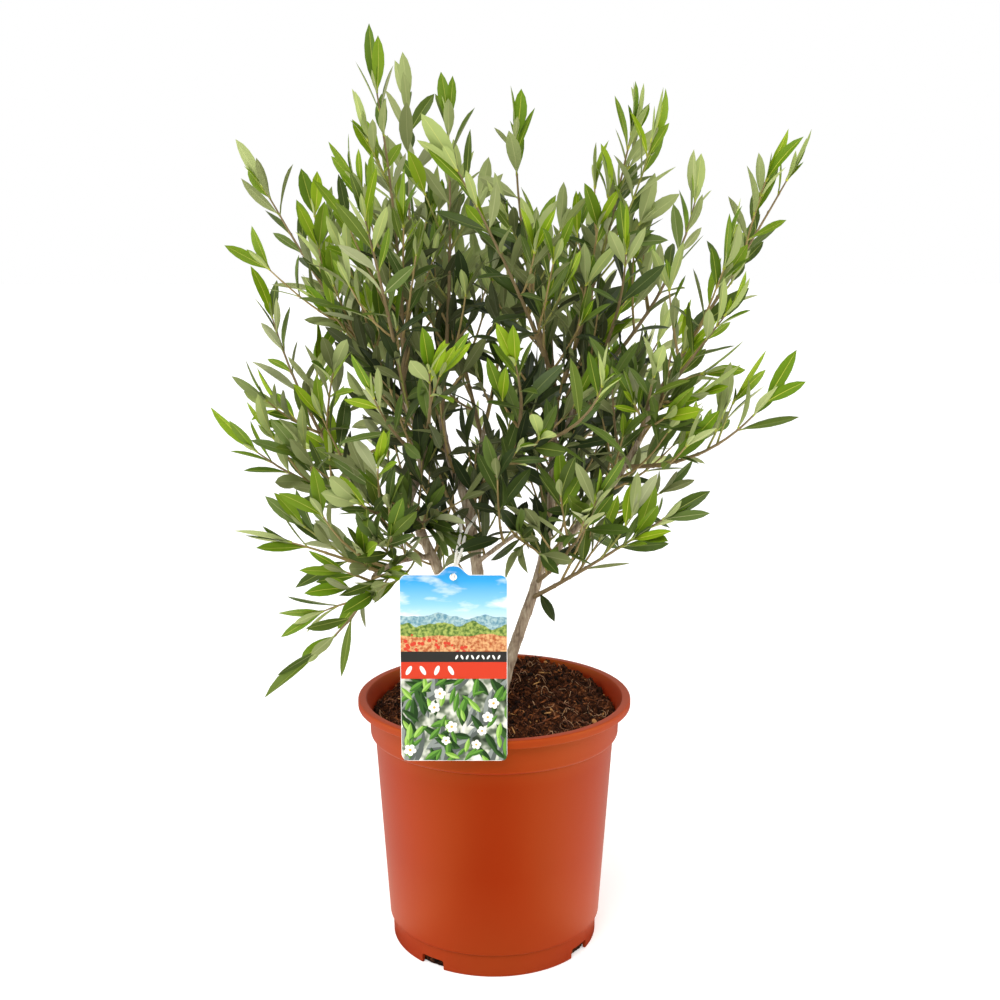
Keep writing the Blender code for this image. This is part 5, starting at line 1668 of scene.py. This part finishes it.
def build_sprigs(front):
    """Leafy sprigs with white blossom, printed in layers on the label's lower field."""
    rng = random.Random("printed sprigs")
    half = 0.5 * LABEL_WIDTH / MM
    layers = []
    for tone, count, sizes, leaning in PRINT_LEAVES:
        for index in range(count):
            middle = (rng.uniform(-half, half), rng.uniform(0.0, LABEL_RED_FROM))
            angle = math.radians(rng.gauss(leaning, 28.0))
            whole, part = printed_leaf(middle, angle, rng.uniform(*sizes), rng.uniform(0.24, 0.34))
            layers.append((tone, whole))
            layers.append((tone + "_light", part))
    for index in range(9):
        middle = (-half + 6.0 + (index * 29 % 62), 8.0 + (index * 17 % 44))
        petals = blossom_outlines(middle, rng.uniform(3.0, 4.4), rng.uniform(0.0, 1.2))
        layers.extend(("petal", outline) for outline in petals[:-1])
        layers.append(("eye", petals[-1]))
    inks = {tone: new_material("ink_" + tone, 0.3, Base_Color=srgb(code))[0]
            for tone, code in PRINT_INKS.items()}
    shapes = []
    for index, (tone, outline) in enumerate(layers):
        inside = trimmed(outline)
        if len(inside) > 2:
            height = PRINT_PROUD + index * PRINT_LAYER
            places = [(x * MM, z * MM) for x, z in inside]
            shapes.append(plate("sprig", places, front - height, height, inks[tone]))
    return join_into(shapes[0], shapes[1:], "label_sprigs")


def build_label():
    """The card, its print, and the ornaments in its two bands."""
    card_surface = new_material("label_card", 0.35, Base_Color=srgb("#F2F2EF"))[0]
    front = LABEL_MIDDLE.y - 0.5 * LABEL_THICKNESS
    card = plate("label_card", label_outline(0.0), front, LABEL_THICKNESS, card_surface)
    sheet = plate("label_print", label_outline(LABEL_MARGIN), front - PRINT_PROUD, PRINT_PROUD,
                  print_material())
    for piece in (card, sheet):
        punch_hole(piece)
    return card, sheet, build_ornaments(front - 2.0 * PRINT_PROUD), build_sprigs(front - PRINT_PROUD)


def build_ornaments(front):
    """A line of plain leaf shapes in each band."""
    rng = random.Random("ornaments")
    white = new_material("white_ink", 0.4, Base_Color=srgb("#F4F3EE"))[0]
    shapes = []
    for level, size, first, last, count in PRINT_ORNAMENTS:
        for index in range(count):
            x = first + (last - first) * index / (count - 1)
            lens = [(size * math.cos(a), 0.42 * size * math.sin(a)) for a in
                    (i * math.tau / 20 for i in range(20))]
            turn = math.radians(62.0 if index % 2 == 0 else 118.0) + rng.gauss(0.0, 0.05)
            outline = [((x + u * math.cos(turn) - v * math.sin(turn)) * MM,
                        (level + u * math.sin(turn) + v * math.cos(turn)) * MM) for u, v in lens]
            shapes.append(plate("ornament", outline, front, PRINT_PROUD, white))
    return join_into(shapes[0], shapes[1:], "label_ornaments")


def closed_curve(points, count):
    """Evenly numbered points of a smooth closed curve through the points given."""
    total = len(points)
    made = []
    for i in range(count):
        place = i * total / count
        k = int(place)
        t = place - k
        a, b, c, d = (points[(k + j - 1) % total] for j in range(4))
        made.append(0.5 * ((2.0 * b) + (c - a) * t + (2.0 * a - 5.0 * b + 4.0 * c - d) * t * t
                           + (3.0 * b - a - 3.0 * c + d) * t ** 3))
    return made


def string_route(stem):
    """Corner points of the string's closed loop through the label's hole and round the middle stem."""
    hole = label_hole()
    hold = stem.at(STRING_HOLD)
    pull = (hole - hold).normalized()
    across = pull.cross(UP).normalized()
    drop = hole - hold
    knot = hold + STRING_KNOT * drop
    return [
        hole - UP * 0.9 * MM,
        hole + Vector((0.4 * MM, -2.2 * MM, 1.0 * MM)),
        knot + across * 1.6 * MM,
        hold + 0.3 * drop + across * 2.2 * MM,
        hold + across * STRING_REACH + pull * 0.5 * MM,
        hold - pull * STRING_REACH,
        hold - across * STRING_REACH + pull * 0.5 * MM,
        hold + 0.3 * drop - across * 2.2 * MM,
        knot - across * 1.6 * MM,
        hole + Vector((-0.4 * MM, 2.4 * MM, 1.0 * MM)),
    ]


def build_string(stem):
    """The white string: two plies laid round each other along the loop."""
    rough = closed_curve(string_route(stem), 60)
    length = sum((rough[i] - rough[i - 1]).length for i in range(60))
    turns = round(length / STRING_LAY)
    count = round(length / STRING_STEP)
    route = closed_curve(string_route(stem), count)
    made, tree, shader = new_material("twisted_cotton", 0.85, Base_Color=srgb("#EDEBE4"))
    place = add_node(tree, "ShaderNodeTexCoord").outputs["Object"]
    fuzz = add_node(tree, "ShaderNodeTexNoise", inputs={"Vector": place, "Scale": 1.0 / (0.5 * MM)})
    add_node(tree, "ShaderNodeBump", inputs={"Height": fuzz, "Distance": 0.1 * MM},
             onto=shader.inputs["Normal"])
    shapes = Shapes()
    for ply in range(2):
        path = []
        for i, point in enumerate(route):
            heading = (route[(i + 1) % count] - route[i - 1]).normalized()
            first = crosswise(heading)
            angle = math.tau * turns * i / count + ply * math.pi
            out = first * math.cos(angle) + heading.cross(first) * math.sin(angle)
            path.append(point + STRING_PLY * 0.8 * out)
        rings = []
        for i, point in enumerate(path):
            heading = (path[(i + 1) % count] - path[i - 1]).normalized()
            rings.append(ring(point, heading, STRING_PLY, 6, crosswise(heading)))
        shapes.add_tube(rings, closed=True)
    return shapes.build("label_cord", [made])


# ---------------------------------------------------------------- stage, light and camera

def build_stage():
    """A plain pale floor, a white surround, and soft light from above and both sides."""
    bpy.ops.object.select_all(action='DESELECT')
    bpy.ops.mesh.primitive_plane_add(size=60.0, location=(0.0, 0.0, -0.2 * MM))
    floor = name_active("floor", floor_material())
    build_world()
    data = bpy.data.lights.new("overhead", 'SUN')
    data.energy = OVERHEAD_STRENGTH
    data.angle = OVERHEAD_ANGLE
    lamp = new_object("overhead", data)
    lamp.rotation_euler = Vector(OVERHEAD_FROM).to_track_quat('Z', 'Y').to_euler()
    for name, place, target, size, power in LIGHTS:
        data = bpy.data.lights.new(name, 'AREA')
        data.shape = 'RECTANGLE'
        data.size, data.size_y = size
        data.energy = power
        data.color = LAMP_COLOUR
        lamp = new_object(name, data)
        lamp.location = place
        lamp.rotation_euler = (Vector(target) - Vector(place)).to_track_quat('-Z', 'Y').to_euler()
        lamp.visible_camera = False


def floor_material():
    """Pale paint, as white as the surround, and darker in what gloss mirrors of it."""
    made, tree, shader = new_material("pale_floor", 0.9, Base_Color=srgb("#F6F6F6"),
                                      Specular_IOR_Level=0.1, Emission_Color=srgb("#FFFFFF"),
                                      Emission_Strength=FLOOR_GLOW)
    dark = add_node(tree, "ShaderNodeBsdfDiffuse", inputs={"Color": srgb(FLOOR_MIRRORED)})
    mirrored = add_node(tree, "ShaderNodeLightPath").outputs["Is Glossy Ray"]
    add_node(tree, "ShaderNodeMixShader", inputs={0: mirrored, 1: shader, 2: dark},
             onto=tree.nodes["Material Output"].inputs["Surface"])
    return made


def build_world():
    """A white surround, whose light on the plant is softer from the front than from above."""
    world = bpy.data.worlds.new("surround")
    bpy.context.scene.world = world
    world.use_nodes = True
    tree = world.node_tree
    shown = tree.nodes["Background"]
    shown.inputs["Color"].default_value = (1.0, 1.0, 1.0, 1.0)
    shown.inputs["Strength"].default_value = 1.0
    toward = add_node(tree, "ShaderNodeSeparateXYZ", inputs={
        "Vector": add_node(tree, "ShaderNodeTexCoord").outputs["Generated"]})
    front = add_node(tree, "ShaderNodeMapRange", inputs={
        "Value": toward.outputs["Y"], "From Min": -0.8, "From Max": 0.2,
        "To Min": WORLD_FRONT, "To Max": WORLD_STRENGTH})
    lit = add_node(tree, "ShaderNodeBackground", inputs={"Strength": front.outputs["Result"]})
    seen = add_node(tree, "ShaderNodeLightPath").outputs["Is Camera Ray"]
    add_node(tree, "ShaderNodeMixShader", inputs={0: seen, 1: lit, 2: shown},
             onto=tree.nodes["World Output"].inputs["Surface"])


def set_camera():
    """The camera, at the place named above."""
    data = bpy.data.cameras.new("camera")
    data.lens = LENS
    data.sensor_width = SENSOR
    camera = new_object("camera", data)
    camera.location = EYE
    camera.rotation_euler = (0.5 * math.pi - LOOK_DOWN, 0.0, 0.0)
    bpy.context.scene.camera = camera


def place_piece(piece, nodes):
    """Let a finished piece move with the plant, and hide the imported nodes that it stands for."""
    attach(piece, "root")
    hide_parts(*nodes)


def main():
    """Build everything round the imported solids."""
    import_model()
    set_camera()
    bpy.context.scene.view_settings.view_transform = 'Standard'
    build_stage()
    foliage_nodes = list(MASSES)
    limb_nodes = list(STEMS) + list(BOUGHS)
    place_piece(build_pot(), ["pot"])
    place_piece(build_soil(), ["soil"])
    for piece in (build_crumbs(), build_washed_soil(), build_chips(), build_fibres()):
        place_piece(piece, ["soil"])
    for piece in build_label():
        place_piece(piece, ["label"])
    plant = grow_plant()
    place_piece(build_bark(plant.limbs), limb_nodes)
    for piece in build_twigs(plant) + build_leaves(plant):
        place_piece(piece, foliage_nodes)
    place_piece(build_string(plant.limbs["stem_middle"]), ["label_string"])


main()
